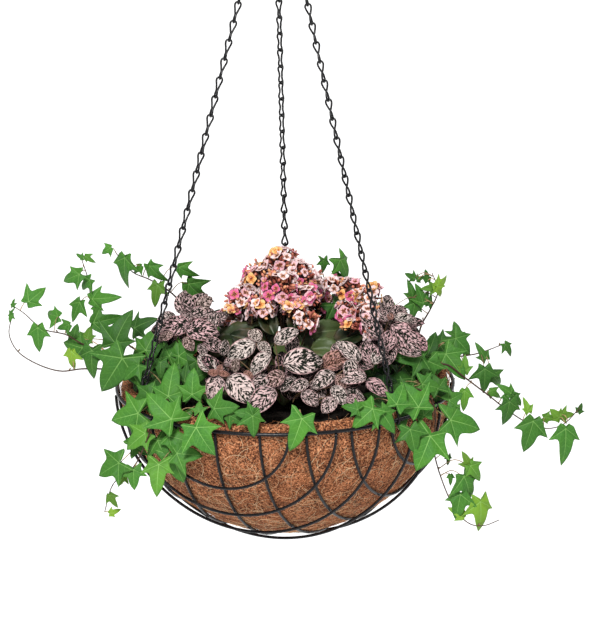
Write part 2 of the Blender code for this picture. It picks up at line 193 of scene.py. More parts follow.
def grid_faces(rows, columns, wrap=False):
    """Quads over a grid of points, numbered row by row. Wrapped, each row is a ring."""
    faces = []
    for i in range(rows - 1):
        for j in range(columns if wrap else columns - 1):
            k = (j + 1) % columns
            faces.append((i * columns + j, i * columns + k,
                          (i + 1) * columns + k, (i + 1) * columns + j))
    return faces


def frames_along(route, closed):
    """Two unit vectors across the route at each point, turned as little as possible."""
    if closed:
        along = np.roll(route, -1, axis=0) - np.roll(route, 1, axis=0)
    else:
        along = np.gradient(route, axis=0)
    along /= np.linalg.norm(along, axis=1)[:, None]
    helper = np.eye(3)[np.argmin(np.abs(along[0]))]
    first = np.cross(along[0], helper)
    firsts = []
    for direction in along:
        first = first - direction * (first @ direction)
        first = first / np.linalg.norm(first)
        firsts.append(first)
    firsts = np.array(firsts)
    seconds = np.cross(along, firsts)
    if closed:
        last = firsts[-1] - along[0] * (firsts[-1] @ along[0])
        turned = math.atan2(last @ seconds[0], last @ firsts[0])
        angles = -turned * np.arange(len(route)) / len(route)
        cosine, sine = np.cos(angles)[:, None], np.sin(angles)[:, None]
        firsts, seconds = cosine * firsts + sine * seconds, cosine * seconds - sine * firsts
    return firsts, seconds


def tube(shape, route, radius, sides=8, closed=False, look=(0.5, 0.0, 0.5), tip=1.0):
    """A round tube along the route. Its radius runs from radius to radius * tip."""
    route = np.array(route, float)
    firsts, seconds = frames_along(route, closed)
    turns = 2 * np.pi * np.arange(sides) / sides
    radii = radius * np.linspace(1.0, tip, len(route))[:, None, None]
    rings = route[:, None] + radii * (np.cos(turns)[None, :, None] * firsts[:, None]
                                      + np.sin(turns)[None, :, None] * seconds[:, None])
    count = len(route)
    faces = grid_faces(count, sides, wrap=True)
    if closed:
        last = (count - 1) * sides
        faces += [(last + j, last + (j + 1) % sides, (j + 1) % sides, j) for j in range(sides)]
    else:
        faces.append(tuple(reversed(range(sides))))
        faces.append(tuple(range((count - 1) * sides, count * sides)))
    places = np.zeros((count * sides, 3))
    places[:, 1] = np.repeat(np.linspace(0, 1, count), sides)
    shape.add(rings.reshape(-1, 3), faces, places, look)


def ball(shape, centre, radii, axis, look, rings=4, sides=7):
    """A small egg whose long radius, the second of the two, lies along the axis."""
    centre, axis = np.array(centre), np.array(axis, float)
    axis /= np.linalg.norm(axis)
    first = np.cross(axis, np.eye(3)[np.argmin(np.abs(axis))])
    first /= np.linalg.norm(first)
    second = np.cross(axis, first)
    points, places = [], []
    for i in range(rings + 1):
        polar = math.pi * (i + 0.02) / (rings + 0.04)
        for j in range(sides):
            turn = 2 * math.pi * j / sides
            out = math.cos(turn) * first + math.sin(turn) * second
            points.append(centre + radii[0] * math.sin(polar) * out
                          - radii[1] * math.cos(polar) * axis)
            places.append((0, i / rings, 0))
    faces = grid_faces(rings + 1, sides, wrap=True)
    faces.append(tuple(reversed(range(sides))))
    faces.append(tuple(range(rings * sides, (rings + 1) * sides)))
    shape.add(points, [tuple(reversed(f)) for f in faces], np.array(places, float), look)


def laid_out(base, axes, amounts):
    """Points these amounts along a blade's side, tip and face directions from its base."""
    amounts = np.stack(np.broadcast_arrays(*amounts), axis=-1)
    return np.array(base) + amounts @ np.array([tuple(axis) for axis in axes])


def blade_grid(rows, columns):
    """How far along (0 to 1) and across (-1 to 1) a blade each row and column lies."""
    return np.linspace(0, 1, rows)[:, None], np.linspace(-1, 1, columns)[None, :]


def add_blade(shape, grid, base, axes, amounts, look):
    """A blade over a grid, its points these amounts along the axes."""
    along, across = grid
    places = np.stack(np.broadcast_arrays(across, along, 0.0), axis=-1)
    shape.add(laid_out(base, axes, amounts).reshape(-1, 3), grid_faces(*places.shape[:2]),
              places.reshape(-1, 3), look)


# --- materials -----------------------------------------------------------------------------------


class Field:
    """A number that varies over a surface, which can be used in sums."""

    def __init__(self, tree, socket):
        self.tree, self.socket = tree, socket

    def math(self, operation, *others):
        node = self.tree.nodes.new("ShaderNodeMath")
        node.operation = operation
        for socket, value in zip(node.inputs, (self, *others)):
            if isinstance(value, Field):
                self.tree.links.new(value.socket, socket)
            else:
                socket.default_value = value
        return Field(self.tree, node.outputs[0])

    def __add__(self, other):
        return self.math("ADD", other)

    def __sub__(self, other):
        return self.math("SUBTRACT", other)

    def __mul__(self, other):
        return self.math("MULTIPLY", other)

    def size(self):
        return self.math("ABSOLUTE")

    def lowest(self, other):
        return self.math("MINIMUM", other)

    def highest(self, other):
        return self.math("MAXIMUM", other)

    def below(self, other):
        return self.math("LESS_THAN", other)

    def fraction(self):
        return self.math("FRACT")

    def steps(self, low, high, start=0.0, end=1.0):
        """Runs smoothly from start to end as the number goes from low to high."""
        node = self.tree.nodes.new("ShaderNodeMapRange")
        node.interpolation_type = "SMOOTHSTEP"
        self.tree.links.new(self.socket, node.inputs["Value"])
        for name, value in (("From Min", low), ("From Max", high),
                            ("To Min", start), ("To Max", end)):
            node.inputs[name].default_value = value
        return Field(self.tree, node.outputs["Result"])


def as_socket(tree, value, socket):
    if isinstance(value, Field):
        value = value.socket
    if isinstance(value, bpy.types.NodeSocket):
        tree.links.new(value, socket)
    elif isinstance(value, tuple):
        socket.default_value = (*value, 1.0)
    else:
        socket.default_value = value


def blend(tree, share, first, second):
    """The first colour at share 0 and the second at share 1."""
    node = tree.nodes.new("ShaderNodeMix")
    node.data_type = "RGBA"
    for socket, value in zip((node.inputs[0], node.inputs[6], node.inputs[7]),
                             (share, first, second)):
        as_socket(tree, value, socket)
    return node.outputs[2]


def attribute(tree, name):
    """The three numbers of a mesh attribute."""
    read = tree.nodes.new("ShaderNodeAttribute")
    read.attribute_name = name
    split = tree.nodes.new("ShaderNodeSeparateXYZ")
    tree.links.new(read.outputs["Vector"], split.inputs[0])
    return [Field(tree, output) for output in split.outputs]


def together(tree, *numbers):
    node = tree.nodes.new("ShaderNodeCombineXYZ")
    for socket, number in zip(node.inputs, numbers):
        as_socket(tree, number, socket)
    return node.outputs[0]


def object_place(tree):
    return tree.nodes.new("ShaderNodeTexCoord").outputs["Object"]


def noise(tree, place, scale, detail=3.0, roughness=0.5):
    node = tree.nodes.new("ShaderNodeTexNoise")
    node.inputs["Scale"].default_value = scale
    node.inputs["Detail"].default_value = detail
    node.inputs["Roughness"].default_value = roughness
    tree.links.new(place, node.inputs["Vector"])
    return Field(tree, node.outputs[0])


def cells(tree, place, scale, feature="F1"):
    """The distance to a cell's middle, or to its edge."""
    node = tree.nodes.new("ShaderNodeTexVoronoi")
    node.feature = feature
    node.inputs["Scale"].default_value = scale
    tree.links.new(place, node.inputs["Vector"])
    return Field(tree, node.outputs["Distance"])


def bump(tree, height, distance, strength=1.0):
    node = tree.nodes.new("ShaderNodeBump")
    node.inputs["Distance"].default_value = distance
    node.inputs["Strength"].default_value = strength
    tree.links.new(height.socket, node.inputs["Height"])
    return node.outputs[0]


def new_material(name):
    made = bpy.data.materials.new(name)
    made.use_nodes = True
    return made, made.node_tree, made.node_tree.nodes["Principled BSDF"]


def dress(tree, shader, **values):
    """Sets the shader's inputs. An underscore in a name stands for a space."""
    for name, value in values.items():
        as_socket(tree, value, shader.inputs[name.replace("_", " ")])


def coated_wire(name, colour, roughness):
    """Black coating, with faint orange peel and a little dust."""
    made, tree, shader = new_material(name)
    place = object_place(tree)
    cloud = noise(tree, place, 90.0, 4.0)
    peel = noise(tree, place, 900.0, 2.0)
    dust = cloud.steps(0.52, 0.75, 0.0, 0.35)
    dress(tree, shader, Base_Color=blend(tree, dust, colour, (0.018, 0.017, 0.016)),
          Roughness=cloud.steps(0.3, 0.8, roughness, roughness + 0.12),
          Specular_IOR_Level=0.22, Normal=bump(tree, peel, 0.0002, 0.5))
    return made


def coir_mat_finish():
    """Matted coconut fibre: rusty brown, with pale strands, and painted shade darkening its
    hollows.
    """
    made, tree, shader = new_material("coir_mat")
    place = object_place(tree)
    warp = noise(tree, place, 60.0, 2.0)
    strands = noise(tree, place, 520.0, 5.0, 0.7)
    patches = noise(tree, place, 38.0, 3.0)
    pits = cells(tree, place, 420.0)
    base = blend(tree, patches.steps(0.3, 0.7), (0.33, 0.115, 0.045), (0.56, 0.21, 0.090))
    # Painted shade: where the strands dip, in the mat's hollows, the colour runs to near black.
    dark = blend(tree, strands.steps(0.58, 0.42), base, (0.045, 0.014, 0.007))
    light = blend(tree, strands.steps(0.55, 0.66, 0.0, 0.9), dark, (0.78, 0.42, 0.22))
    height = strands + warp * 0.6 - pits * 0.5
    dress(tree, shader, Base_Color=light, Roughness=0.95, Specular_IOR_Level=0.2,
          Normal=bump(tree, height, 0.0012, 0.9))
    return made


def coir_fibre_finish(name, first, second):
    """Strands whose tone runs from the first colour to the second."""
    made, tree, shader = new_material(name)
    _, along, _ = attribute(tree, "place")
    tone, _, _ = attribute(tree, "look")
    fleck = noise(tree, object_place(tree), 800.0, 2.0)
    share = (tone + fleck.steps(0.3, 0.7, -0.25, 0.25) + along * 0.15).steps(0.0, 1.0)
    dress(tree, shader, Base_Color=blend(tree, share, first, second), Roughness=0.8,
          Specular_IOR_Level=0.3)
    return made


def soil_finish():
    """Nearly black compost with paler specks, darker than compost itself to paint the shade under
    the plants.
    """
    made, tree, shader = new_material("potting_soil")
    place = object_place(tree)
    crumbs = noise(tree, place, 260.0, 6.0, 0.7)
    specks = cells(tree, place, 300.0)
    # The near-black base is partly the compost's own colour and partly painted shade, the deep
    # shade under the plants.
    colour = blend(tree, crumbs.steps(0.35, 0.7), (0.004, 0.003, 0.002), (0.022, 0.013, 0.008))
    colour = blend(tree, specks.steps(0.12, 0.06), colour, (0.08, 0.055, 0.035))
    dress(tree, shader, Base_Color=colour, Roughness=0.95, Specular_IOR_Level=0.25,
          Normal=bump(tree, crumbs, 0.003))
    return made


def ivy_veins(tree):
    """(main veins, side veins, fine net), each 1 on the vein. Seen from the stalk, a leaf's veins
    run to its five tips."""
    across, along, _ = attribute(tree, "place")
    across = across.size()
    nearest, down_vein = None, None
    for degrees in IVY_TIP_ANGLES:
        cosine, sine = math.cos(math.radians(degrees)), math.sin(math.radians(degrees))
        distance = across * cosine + along * sine
        aside = (across * sine - along * cosine).size() + distance.below(0.0) * 9.0
        if nearest is None:
            nearest, down_vein = aside, distance
        else:
            closer = aside.below(nearest)
            down_vein = down_vein + closer * (distance - down_vein)
            nearest = nearest.lowest(aside)
    width = down_vein.steps(0.0, 1.0, 0.013, 0.004)
    main = (width - nearest).steps(-0.006, 0.005)
    comb = ((down_vein * 5.0 - nearest * 4.2 + 0.3).fraction() - 0.5).size()
    side = comb.steps(0.015, 0.060, 1.0, 0.0) * nearest.steps(0.10, 0.30, 1.0, 0.1)
    side = side * down_vein.steps(0.10, 0.22)
    net = cells(tree, together(tree, across, along, 0.0), 13.0, "DISTANCE_TO_EDGE")
    return main, side, net.steps(0.01, 0.07, 1.0, 0.0)


def ivy_finish():
    """look is (tone, share of yellow, a number of the leaf's own)."""
    made, tree, shader = new_material("ivy_leaf")
    tone, young, _ = attribute(tree, "look")
    main, side, net = ivy_veins(tree)
    place = object_place(tree)
    cloud = noise(tree, place, 55.0, 3.0)
    mottle = noise(tree, place, 420.0, 3.0)
    green = blend(tree, tone, (0.004, 0.022, 0.004), (0.066, 0.220, 0.022))
    green = blend(tree, cloud.steps(0.35, 0.65, 0.0, 0.6) * tone, green, (0.020, 0.105, 0.020))
    green = blend(tree, young, green, (0.21, 0.33, 0.022))
    green = blend(tree, mottle.steps(0.35, 0.7, 0.0, 0.25) * tone, green, (0.085, 0.255, 0.030))
    lines = (side * 0.60 + net * 0.24).lowest(1.0) * tone
    green = blend(tree, lines, green, (0.12, 0.32, 0.06))
    green = blend(tree, main * (tone * 0.45 + 0.2), green, (0.26, 0.47, 0.13))
    relief = main * -0.5 - side * 0.4 - net * 0.1 + mottle * 0.15
    dress(tree, shader, Base_Color=green, Roughness=mottle.steps(0.3, 0.7, 0.50, 0.64),
          Specular_IOR_Level=0.18, Normal=bump(tree, relief, 0.0003, 0.5))
    return made


def stem_finish():
    """Stems and stalks: look 0 is green, 0.5 beige and 1 dark red-brown."""
    made, tree, shader = new_material("plant_stem")
    tone, _, _ = attribute(tree, "look")
    fleck = noise(tree, object_place(tree), 300.0, 3.0)
    colour = blend(tree, tone.steps(0.0, 0.5), (0.10, 0.19, 0.04), (0.40, 0.27, 0.14))
    colour = blend(tree, tone.steps(0.5, 1.0), colour, (0.030, 0.012, 0.008))
    colour = blend(tree, fleck.steps(0.45, 0.7, 0.0, 0.5), colour, (0.10, 0.05, 0.025))
    dress(tree, shader, Base_Color=colour, Roughness=0.55, Specular_IOR_Level=0.2,
          Normal=bump(tree, fleck, 0.0004))
    return made


def spotted_leaf_finish():
    """Pale pink blades with ragged dark green marks, which lie along the side veins. look is
    (pink, dark, share of salmon)."""
    made, tree, shader = new_material("spotted_leaf")
    across, along, _ = attribute(tree, "place")
    pink, dark, young = attribute(tree, "look")
    aside = across.size()
    herring = along * 7.0 - aside * 2.4
    ragged = noise(tree, together(tree, across * 6.5, along * 10.0, pink * 30.0), 1.0, 4.0, 0.7)
    blotches = noise(tree, together(tree, herring * 1.2, across * 2.7, dark * 30.0), 1.0, 2.0)
    dashes = noise(tree, together(tree, herring * 2.3, across * 5.0, pink * 40.0), 1.0, 1.0)
    amount = blotches * 0.8 + dashes * 0.9 + ragged * 0.7 + dark * 0.09
    marks = amount.steps(1.17, 1.25)
    midrib = aside.steps(0.03, 0.10, 1.0, 0.0) * (ragged + dashes).steps(0.92, 1.08)
    marks = marks.highest(midrib) * aside.steps(0.88, 0.98, 1.0, 0.35)
    pale = blend(tree, pink, (0.62, 0.53, 0.48), (0.54, 0.29, 0.32))
    pale = blend(tree, young, pale, (0.40, 0.16, 0.11))
    edge = blend(tree, aside.steps(0.80, 1.0, 0.0, 0.7), pale, (0.52, 0.27, 0.28))
    edge = blend(tree, ragged.steps(0.45, 0.7, 0.0, 0.4), edge, (0.62, 0.56, 0.52))
    ink = blend(tree, blotches.steps(0.4, 0.65), (0.002, 0.003, 0.002), (0.007, 0.011, 0.005))
    ink = blend(tree, young * 0.6, ink, (0.12, 0.05, 0.03))
    ribs = ((herring.fraction() - 0.5).size()).steps(0.0, 0.5)
    relief = ribs * 1.3 - midrib + ragged * 0.3
    dress(tree, shader, Base_Color=blend(tree, marks, edge, ink), Roughness=0.65,
          Specular_IOR_Level=0.12, Normal=bump(tree, relief, 0.0007, 0.9))
    return made


def petal_finish():
    """look is (kind, brightness, 0): kind 0 is white to pink, 0.5 magenta and 1 cream-orange."""
    made, tree, shader = new_material("petal")
    across, along, _ = attribute(tree, "place")
    kind, bright, _ = attribute(tree, "look")
    streaks = noise(tree, together(tree, across * 6.0, along * 1.5, bright * 8.0), 1.5, 2.0)
    blush = (along * 0.6 + streaks * 0.7).steps(0.35, 1.05)
    white_pink = blend(tree, blush, (0.72, 0.48, 0.50), (0.78, 0.66, 0.64))
    white_pink = blend(tree, bright.steps(0.5, 0.0, 0.0, 0.75), white_pink, (0.70, 0.28, 0.38))
    magenta = blend(tree, blush, (0.50, 0.04, 0.14), (0.68, 0.20, 0.36))
    cream = blend(tree, blush, (0.70, 0.24, 0.05), (0.76, 0.55, 0.26))
    colour = blend(tree, kind.steps(0.25, 0.3), white_pink, magenta)
    colour = blend(tree, kind.steps(0.7, 0.75), colour, cream)
    colour = blend(tree, along.steps(0.22, 0.34, 0.7, 0.0), colour, (0.62, 0.33, 0.10))
    centre = blend(tree, kind.steps(0.7, 0.75), (0.13, 0.035, 0.02), (0.42, 0.11, 0.02))
    colour = blend(tree, along.steps(0.10, 0.22, 1.0, 0.0), colour, centre)
    dress(tree, shader, Base_Color=colour, Roughness=0.6, Specular_IOR_Level=0.15,
          Normal=bump(tree, streaks, 0.0004, 0.6))
    return made


def bud_finish():
    """look is (tone, 0, 0): 0 is dark red and 1 orange. Far below 0 is a head's near-black core,
    painted shade inside the head.
    """
    made, tree, shader = new_material("flower_bud")
    _, along, _ = attribute(tree, "place")
    tone, _, _ = attribute(tree, "look")
    colour = blend(tree, tone.steps(0.0, 0.5), (0.20, 0.035, 0.022), (0.56, 0.19, 0.13))
    colour = blend(tree, tone.steps(0.5, 1.0), colour, (0.70, 0.33, 0.15))
    low = blend(tree, 0.55, colour, (0.10, 0.028, 0.014))
    colour = blend(tree, along.steps(0.2, 0.7), low, colour)
    # Painted shade: a tone far below 0 gives the heads' cores near black.
    colour = blend(tree, tone.steps(-1.0, -2.0), colour, (0.030, 0.012, 0.007))
    dress(tree, shader, Base_Color=colour, Roughness=0.5, Specular_IOR_Level=0.25)
    return made


def dark_leaf_finish():
    """The thick, dull leaves under the flowers."""
    made, tree, shader = new_material("flower_foliage")
    across, along, _ = attribute(tree, "place")
    tone, _, _ = attribute(tree, "look")
    cloud = noise(tree, object_place(tree), 80.0, 3.0)
    green = blend(tree, tone, (0.010, 0.018, 0.006), (0.060, 0.090, 0.026))
    green = blend(tree, cloud.steps(0.45, 0.8, 0.0, 0.6), green, (0.10, 0.060, 0.030))
    green = blend(tree, across.size().steps(0.0, 0.07, 0.6, 0.0), green, (0.12, 0.16, 0.06))
    dress(tree, shader, Base_Color=green, Roughness=0.45, Specular_IOR_Level=0.25,
          Normal=bump(tree, cloud + along * 0.1, 0.001, 0.6))
    return made


def floor_finish():
    made, tree, shader = new_material("pale_floor")
    dress(tree, shader, Base_Color=(0.90, 0.90, 0.90), Roughness=1.0, Specular_IOR_Level=0.0)
    return made


# --- camera, light and floor ---------------------------------------------------------------------


def make_camera():
    tilt, roll = math.radians(CAMERA_ELEVATION), math.radians(CAMERA_ROLL)
    back = Vector((0, -math.cos(tilt), math.sin(tilt)))
    level, upright = Vector((1, 0, 0)), Vector((0, math.sin(tilt), math.cos(tilt)))
    right = math.cos(roll) * level - math.sin(roll) * upright
    up = math.cos(roll) * upright + math.sin(roll) * level
    data = bpy.data.cameras.new("camera")
    data.sensor_width = 36.0
    data.lens = data.sensor_width * CAMERA_DISTANCE / PICTURE_HEIGHT
    data.clip_end = 100.0
    camera = bpy.data.objects.new("camera", data)
    bpy.context.collection.objects.link(camera)
    aim = RIM_CENTRE + CAMERA_AIM[0] * right + CAMERA_AIM[1] * up
    camera.location = aim + CAMERA_DISTANCE * back
    turn = camera.matrix_world.to_3x3()
    turn.col[0], turn.col[1], turn.col[2] = right, up, back
    camera.rotation_euler = turn.to_euler()
    bpy.context.scene.camera = camera


def make_sky():
    """Soft white light, stronger from above than from the sides, with a white horizon."""
    world = bpy.data.worlds.new("studio")
    world.use_nodes = True
    bpy.context.scene.world = world
    tree = world.node_tree
    split = tree.nodes.new("ShaderNodeSeparateXYZ")
    tree.links.new(tree.nodes.new("ShaderNodeTexCoord").outputs["Generated"], split.inputs[0])
    height = Field(tree, split.outputs["Z"])
    strength = height.steps(0.1, 1.0, *SKY_STRENGTH)
    strength += height.steps(0.05, 0.10, HORIZON_GLOW, 0.0)
    tree.nodes["Background"].inputs["Color"].default_value = (1.0, 1.0, 1.0, 1.0)
    tree.links.new(strength.socket, tree.nodes["Background"].inputs["Strength"])


def sun(name, azimuth, elevation, strength, softness):
    data = bpy.data.lights.new(name, "SUN")
    data.energy = strength
    data.angle = math.radians(softness)
    light = bpy.data.objects.new(name, data)
    bpy.context.collection.objects.link(light)
    towards = around(azimuth, math.cos(math.radians(elevation)), math.sin(math.radians(elevation)))
    light.rotation_euler = (-towards).to_track_quat("-Z", "Y").to_euler()


def make_studio():
    make_sky()
    for name, facts in SUNS.items():
        sun(name, *facts)
    mesh = bpy.data.meshes.new("floor")
    sides = 64
    turns = [2 * math.pi * i / sides for i in range(sides)]
    corners = [(FLOOR_RADIUS * math.cos(a), FLOOR_RADIUS * math.sin(a), FLOOR_Z) for a in turns]
    mesh.from_pydata(corners, [], [tuple(range(sides))])
    mesh.materials.append(floor_finish())
    floor = bpy.data.objects.new("floor", mesh)
    bpy.context.collection.objects.link(floor)
    bpy.context.scene.view_settings.view_transform = "Standard"


# --- wires and chains ----------------------------------------------------------------------------


def make_rim(finish):
    shape = Shape()
    turns = [2 * math.pi * i / 180 for i in range(180)]
    route = [RIM_RADIUS * Vector((math.cos(a), math.sin(a), 0)) for a in turns]
    tube(shape, route, RIM_WIRE, sides=16, closed=True)
    rim = shape.build("rim_wire", finish)
    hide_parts("rim_ring")


def hoop_route(family, number):
    """A U-shaped hoop in an upright plane, whose ends reach the rim wire."""
    offset = HOOP_LAYER if family == "outer" else -HOOP_LAYER
    radius, depth = RIM_RADIUS + offset, BOWL_DEPTH + offset
    normal = around(HOOP_TURN[family], 1.0)
    along = Vector((-normal.y, normal.x, 0))
    plane = radius * math.cos(math.radians(90 + number * HOOP_STEP))
    half_span = math.sqrt(bowl_radius(-HOOP_END_GAP, radius, depth) ** 2 - plane ** 2)
    route = []
    for i in range(73):
        place = plane * normal + half_span * math.cos(math.pi * i / 72) * along
        place.z = bowl_height(place.length, radius, depth)
        route.append(place)
    return smooth_route(route, 0.004)


def make_hoops(finish):
    for family in HOOP_TURN:
        for number in range(-HOOPS_EACH_SIDE, HOOPS_EACH_SIDE + 1):
            shape = Shape()
            tube(shape, hoop_route(family, number), HOOP_WIRE, sides=12)
            label = number + HOOPS_EACH_SIDE + 1
            hoop = shape.build(f"{family}_hoop_wire_{label}", finish)
            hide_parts(f"{family}_hoop_{label}")


def chain_line(side):
    """(start, down, across, over) of a chain, measured from the rim's centre."""
    turn = math.radians(CHAIN_RING_ANGLES[side])
    seat = Vector((0, RING_RADIUS * math.sin(turn),
                   APEX_HEIGHT + RING_RADIUS * (1 - math.cos(turn))))
    down = (around(CHAIN_AZIMUTHS[side], RIM_RADIUS) - seat).normalized()
    start = seat - down * (RING_WIRE + CHAIN_WIRE + TOP_LINK_GAP)
    across = down.cross(Vector((0, math.cos(turn), math.sin(turn)))).normalized()
    return start, down, across, down.cross(across).normalized()


def link_route(top, down, across, over, length):
    """A closed figure eight whose strands make a quarter turn round each other at the waist."""
    bow = [math.radians(a) for a in range(0, 91, 15)]
    upper = [(LINK_HALF_WIDTH * (1 - math.cos(a)), LINK_HALF_WIDTH * math.sin(a)) for a in bow]
    taper = length / 2 - LINK_HALF_WIDTH
    for share in (0.2, 0.4, 0.6, 0.8, 0.93):  # of the way from the bow to the waist
        narrowing = math.cos(math.pi / 2 * share) ** 2
        width = LINK_WAIST + (LINK_HALF_WIDTH - LINK_WAIST) * narrowing
        upper.append((LINK_HALF_WIDTH + taper * share, width))
    strand = upper + [(length - drop, width) for drop, width in reversed(upper)]
    round_trip = strand + [(drop, -width) for drop, width in reversed(strand[1:-1])]
    route = []
    twist_start, twist_share = 0.36, 0.28
    for drop, width in round_trip:
        share = min(1.0, max(0.0, (drop / length - twist_start) / twist_share))
        twist = math.pi / 2 * share * share * (3 - 2 * share)
        route.append(top + down * drop
                     + width * (math.cos(twist) * across + math.sin(twist) * over))
    return route


def rim_hook_route(side):
    """An open hook under the rim wire with an eye above it, and where the last link hangs."""
    rim_point = around(CHAIN_AZIMUTHS[side], RIM_RADIUS)
    up = -chain_line(side)[1]
    outward = up.cross(around(CHAIN_AZIMUTHS[side] + 90, 1.0)).normalized()
    if outward.dot(around(CHAIN_AZIMUTHS[side], 1.0)) < 0:
        outward = -outward
    bend = RIM_WIRE + CHAIN_WIRE + CONTACT_GAP
    eye_radius, eye_height = 0.0036, 0.0150
    eye = rim_point + up * eye_height
    arcs = ((rim_point, bend, range(200, -1, -20), -1), (eye, eye_radius, range(-60, 241, 25), 1))
    route = []
    for centre, radius, sweep, sense in arcs:
        for degrees in sweep:
            turn = math.radians(sense * degrees)
            route.append(centre + radius * (math.cos(turn) * outward + math.sin(turn) * up))
    return smooth_route(route, 0.0009), eye + up * (eye_radius - 2 * CHAIN_WIRE - CONTACT_GAP)


def make_chain(side, finish):
    """Every link of one chain, turning slowly from how the ring holds the first to how the rim
    hook holds the last."""
    start, down, across, over = chain_line(side)
    hook, bottom = rim_hook_route(side)
    shape = Shape()
    tube(shape, hook, CHAIN_WIRE, sides=10)
    piece = shape.build(f"{side}_chain_hook", finish)
    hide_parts(f"{side}_rim_hook")

    span = (bottom - start).length - 2 * CHAIN_WIRE
    count = round(span / LINK_PITCH)
    pitch = span / count
    outward = down.cross(around(CHAIN_AZIMUTHS[side] + 90, 1.0)).normalized()
    turned = math.atan2(outward.dot(over), outward.dot(across))
    turned = (turned + math.pi / 2) % math.pi - math.pi / 2
    shape = Shape()
    for number in range(count):
        turn = turned * number / (count - 1) + math.radians(chance.uniform(-6, 6))
        first = math.cos(turn) * across + math.sin(turn) * over
        second = math.cos(turn) * over - math.sin(turn) * across
        top = start + down * (pitch * number)
        route = link_route(top, down, first, second, pitch + 2 * CHAIN_WIRE)
        tube(shape, route, CHAIN_WIRE, sides=8, closed=True)
    links = shape.build(f"{side}_chain_links", finish)
    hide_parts(f"{side}_chain", f"{side}_top_link", f"{side}_rim_link")


# --- liner and soil ------------------------------------------------------------------------------


def bowl_point(azimuth, fall, inset):
    """A point inset from the bowl's surface, and the direction out of it. fall is 0 at the rim and
    90 at the bottom."""
    radius, depth = RIM_RADIUS - inset, BOWL_DEPTH - inset
    reach = radius * math.cos(math.radians(fall))
    height = bowl_height(reach, radius, depth)
    power = BOWL_FULLNESS - 1
    rise = -((-height / depth) ** power) / depth
    out = around(azimuth, (reach / radius) ** power / radius, rise)
    return around(azimuth, reach, height), out.normalized()


def lumps(place, size, seed):
    """Smooth waves from -1 to 1 over a surface, about this far apart."""
    x, y, z = (c / size for c in place)
    return (math.sin(x * 2.1 + seed) * math.cos(y * 1.7 - seed * 2) + math.sin(y * 2.9 + z * 2.3)
            * math.cos(z * 1.9 - x * 1.3 + seed) + math.sin((x + y + z) * 3.7 + seed * 3)) / 3


def make_liner(finish):
    """A closed felted shell with an uneven top edge."""
    segments, steps = 144, 26
    shape = Shape()
    profile = [("outer", 90 * (1 - i / steps)) for i in range(1, steps + 1)]
    profile += [("edge", share) for share in (0.0, 0.35, 0.7, 1.0)]
    profile += [("inner", 90 * i / steps) for i in range(0, steps)]
    points = []
    for kind, amount in profile:
        for j in range(segments):
            azimuth = 360 * j / segments
            if kind == "edge":
                inset = LINER_OUTSIDE + 0.002 + (LINER_THICKNESS - 0.004) * amount
                place, _ = bowl_point(azimuth, 0, inset)
                rise = LINER_RISE + 0.0022 * lumps(place, 0.016, 3.0)
                place.z = rise - (0.0015 if amount in (0.0, 1.0) else 0.0)
                points.append(place)
                continue
            inset = LINER_OUTSIDE + (LINER_THICKNESS if kind == "inner" else 0.0)
            place, out = bowl_point(azimuth, amount, inset)
            swell = 0.0007 * lumps(place, 0.020, 1.0) + 0.0004 * lumps(place, 0.006, 5.0)
            points.append(place + out * swell)
    faces = grid_faces(len(profile), segments, wrap=True)
    for ring, inset in ((0, LINER_OUTSIDE), (len(profile) - 1, LINER_OUTSIDE + LINER_THICKNESS)):
        points.append(Vector((0, 0, -(BOWL_DEPTH - inset))))
        for j in range(segments):
            k = (j + 1) % segments
            corner = (ring * segments + j, ring * segments + k, len(points) - 1)
            faces.append(tuple(reversed(corner)) if ring == 0 else corner)
    shape.add(points, faces)
    liner = shape.build("coir_mat", finish)
    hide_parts("coir_liner")


def fibre_route(inset, lift):
    """A loose arc over the bowl's outside, a short way off the mat."""
    azimuth, fall = chance.uniform(0, 360), math.degrees(math.asin(chance.random() ** 0.9))
    heading, bend = chance.uniform(0, 2 * math.pi), chance.uniform(-1.6, 1.6)
    length = chance.uniform(0.010, 0.045)
    points = []
    place, out = bowl_point(azimuth, fall, inset)
    first = out.cross(Vector((0.3, 0.2, 0.9))).normalized()
    second = out.cross(first)
    for i in range(7):
        share = i / 6 - 0.5
        direction = heading + bend * share
        step = length * share
        spot = place + step * (math.cos(direction) * first + math.sin(direction) * second)
        flat = Vector((spot.x, spot.y, 0)).length / (RIM_RADIUS - inset)
        down = max(0.0, 1 - flat * flat)
        top = LINER_RISE if spot.z > 0 else 0.0
        if spot.z < 0:
            low = -spot.z / (BOWL_DEPTH - inset)
            scale = (flat ** BOWL_FULLNESS + low ** BOWL_FULLNESS) ** (1 / BOWL_FULLNESS)
            spot = spot / max(scale, 1e-6)
        spot.z = min(spot.z, top)
        bow = lift * (1 - (2 * share) ** 2) * (0.4 + 0.6 * down)
        points.append(spot + out * bow)
    return points


# Kinds of loose strand: name, first and second colour, how many, and radius.
FIBRES = (
    ("dark", (0.05, 0.018, 0.010), (0.20, 0.070, 0.030), 1500, 0.00017),
    ("rust", (0.42, 0.14, 0.055), (0.66, 0.28, 0.12), 2300, 0.00018),
    ("pale", (0.64, 0.36, 0.18), (0.84, 0.62, 0.38), 1500, 0.00022),
)


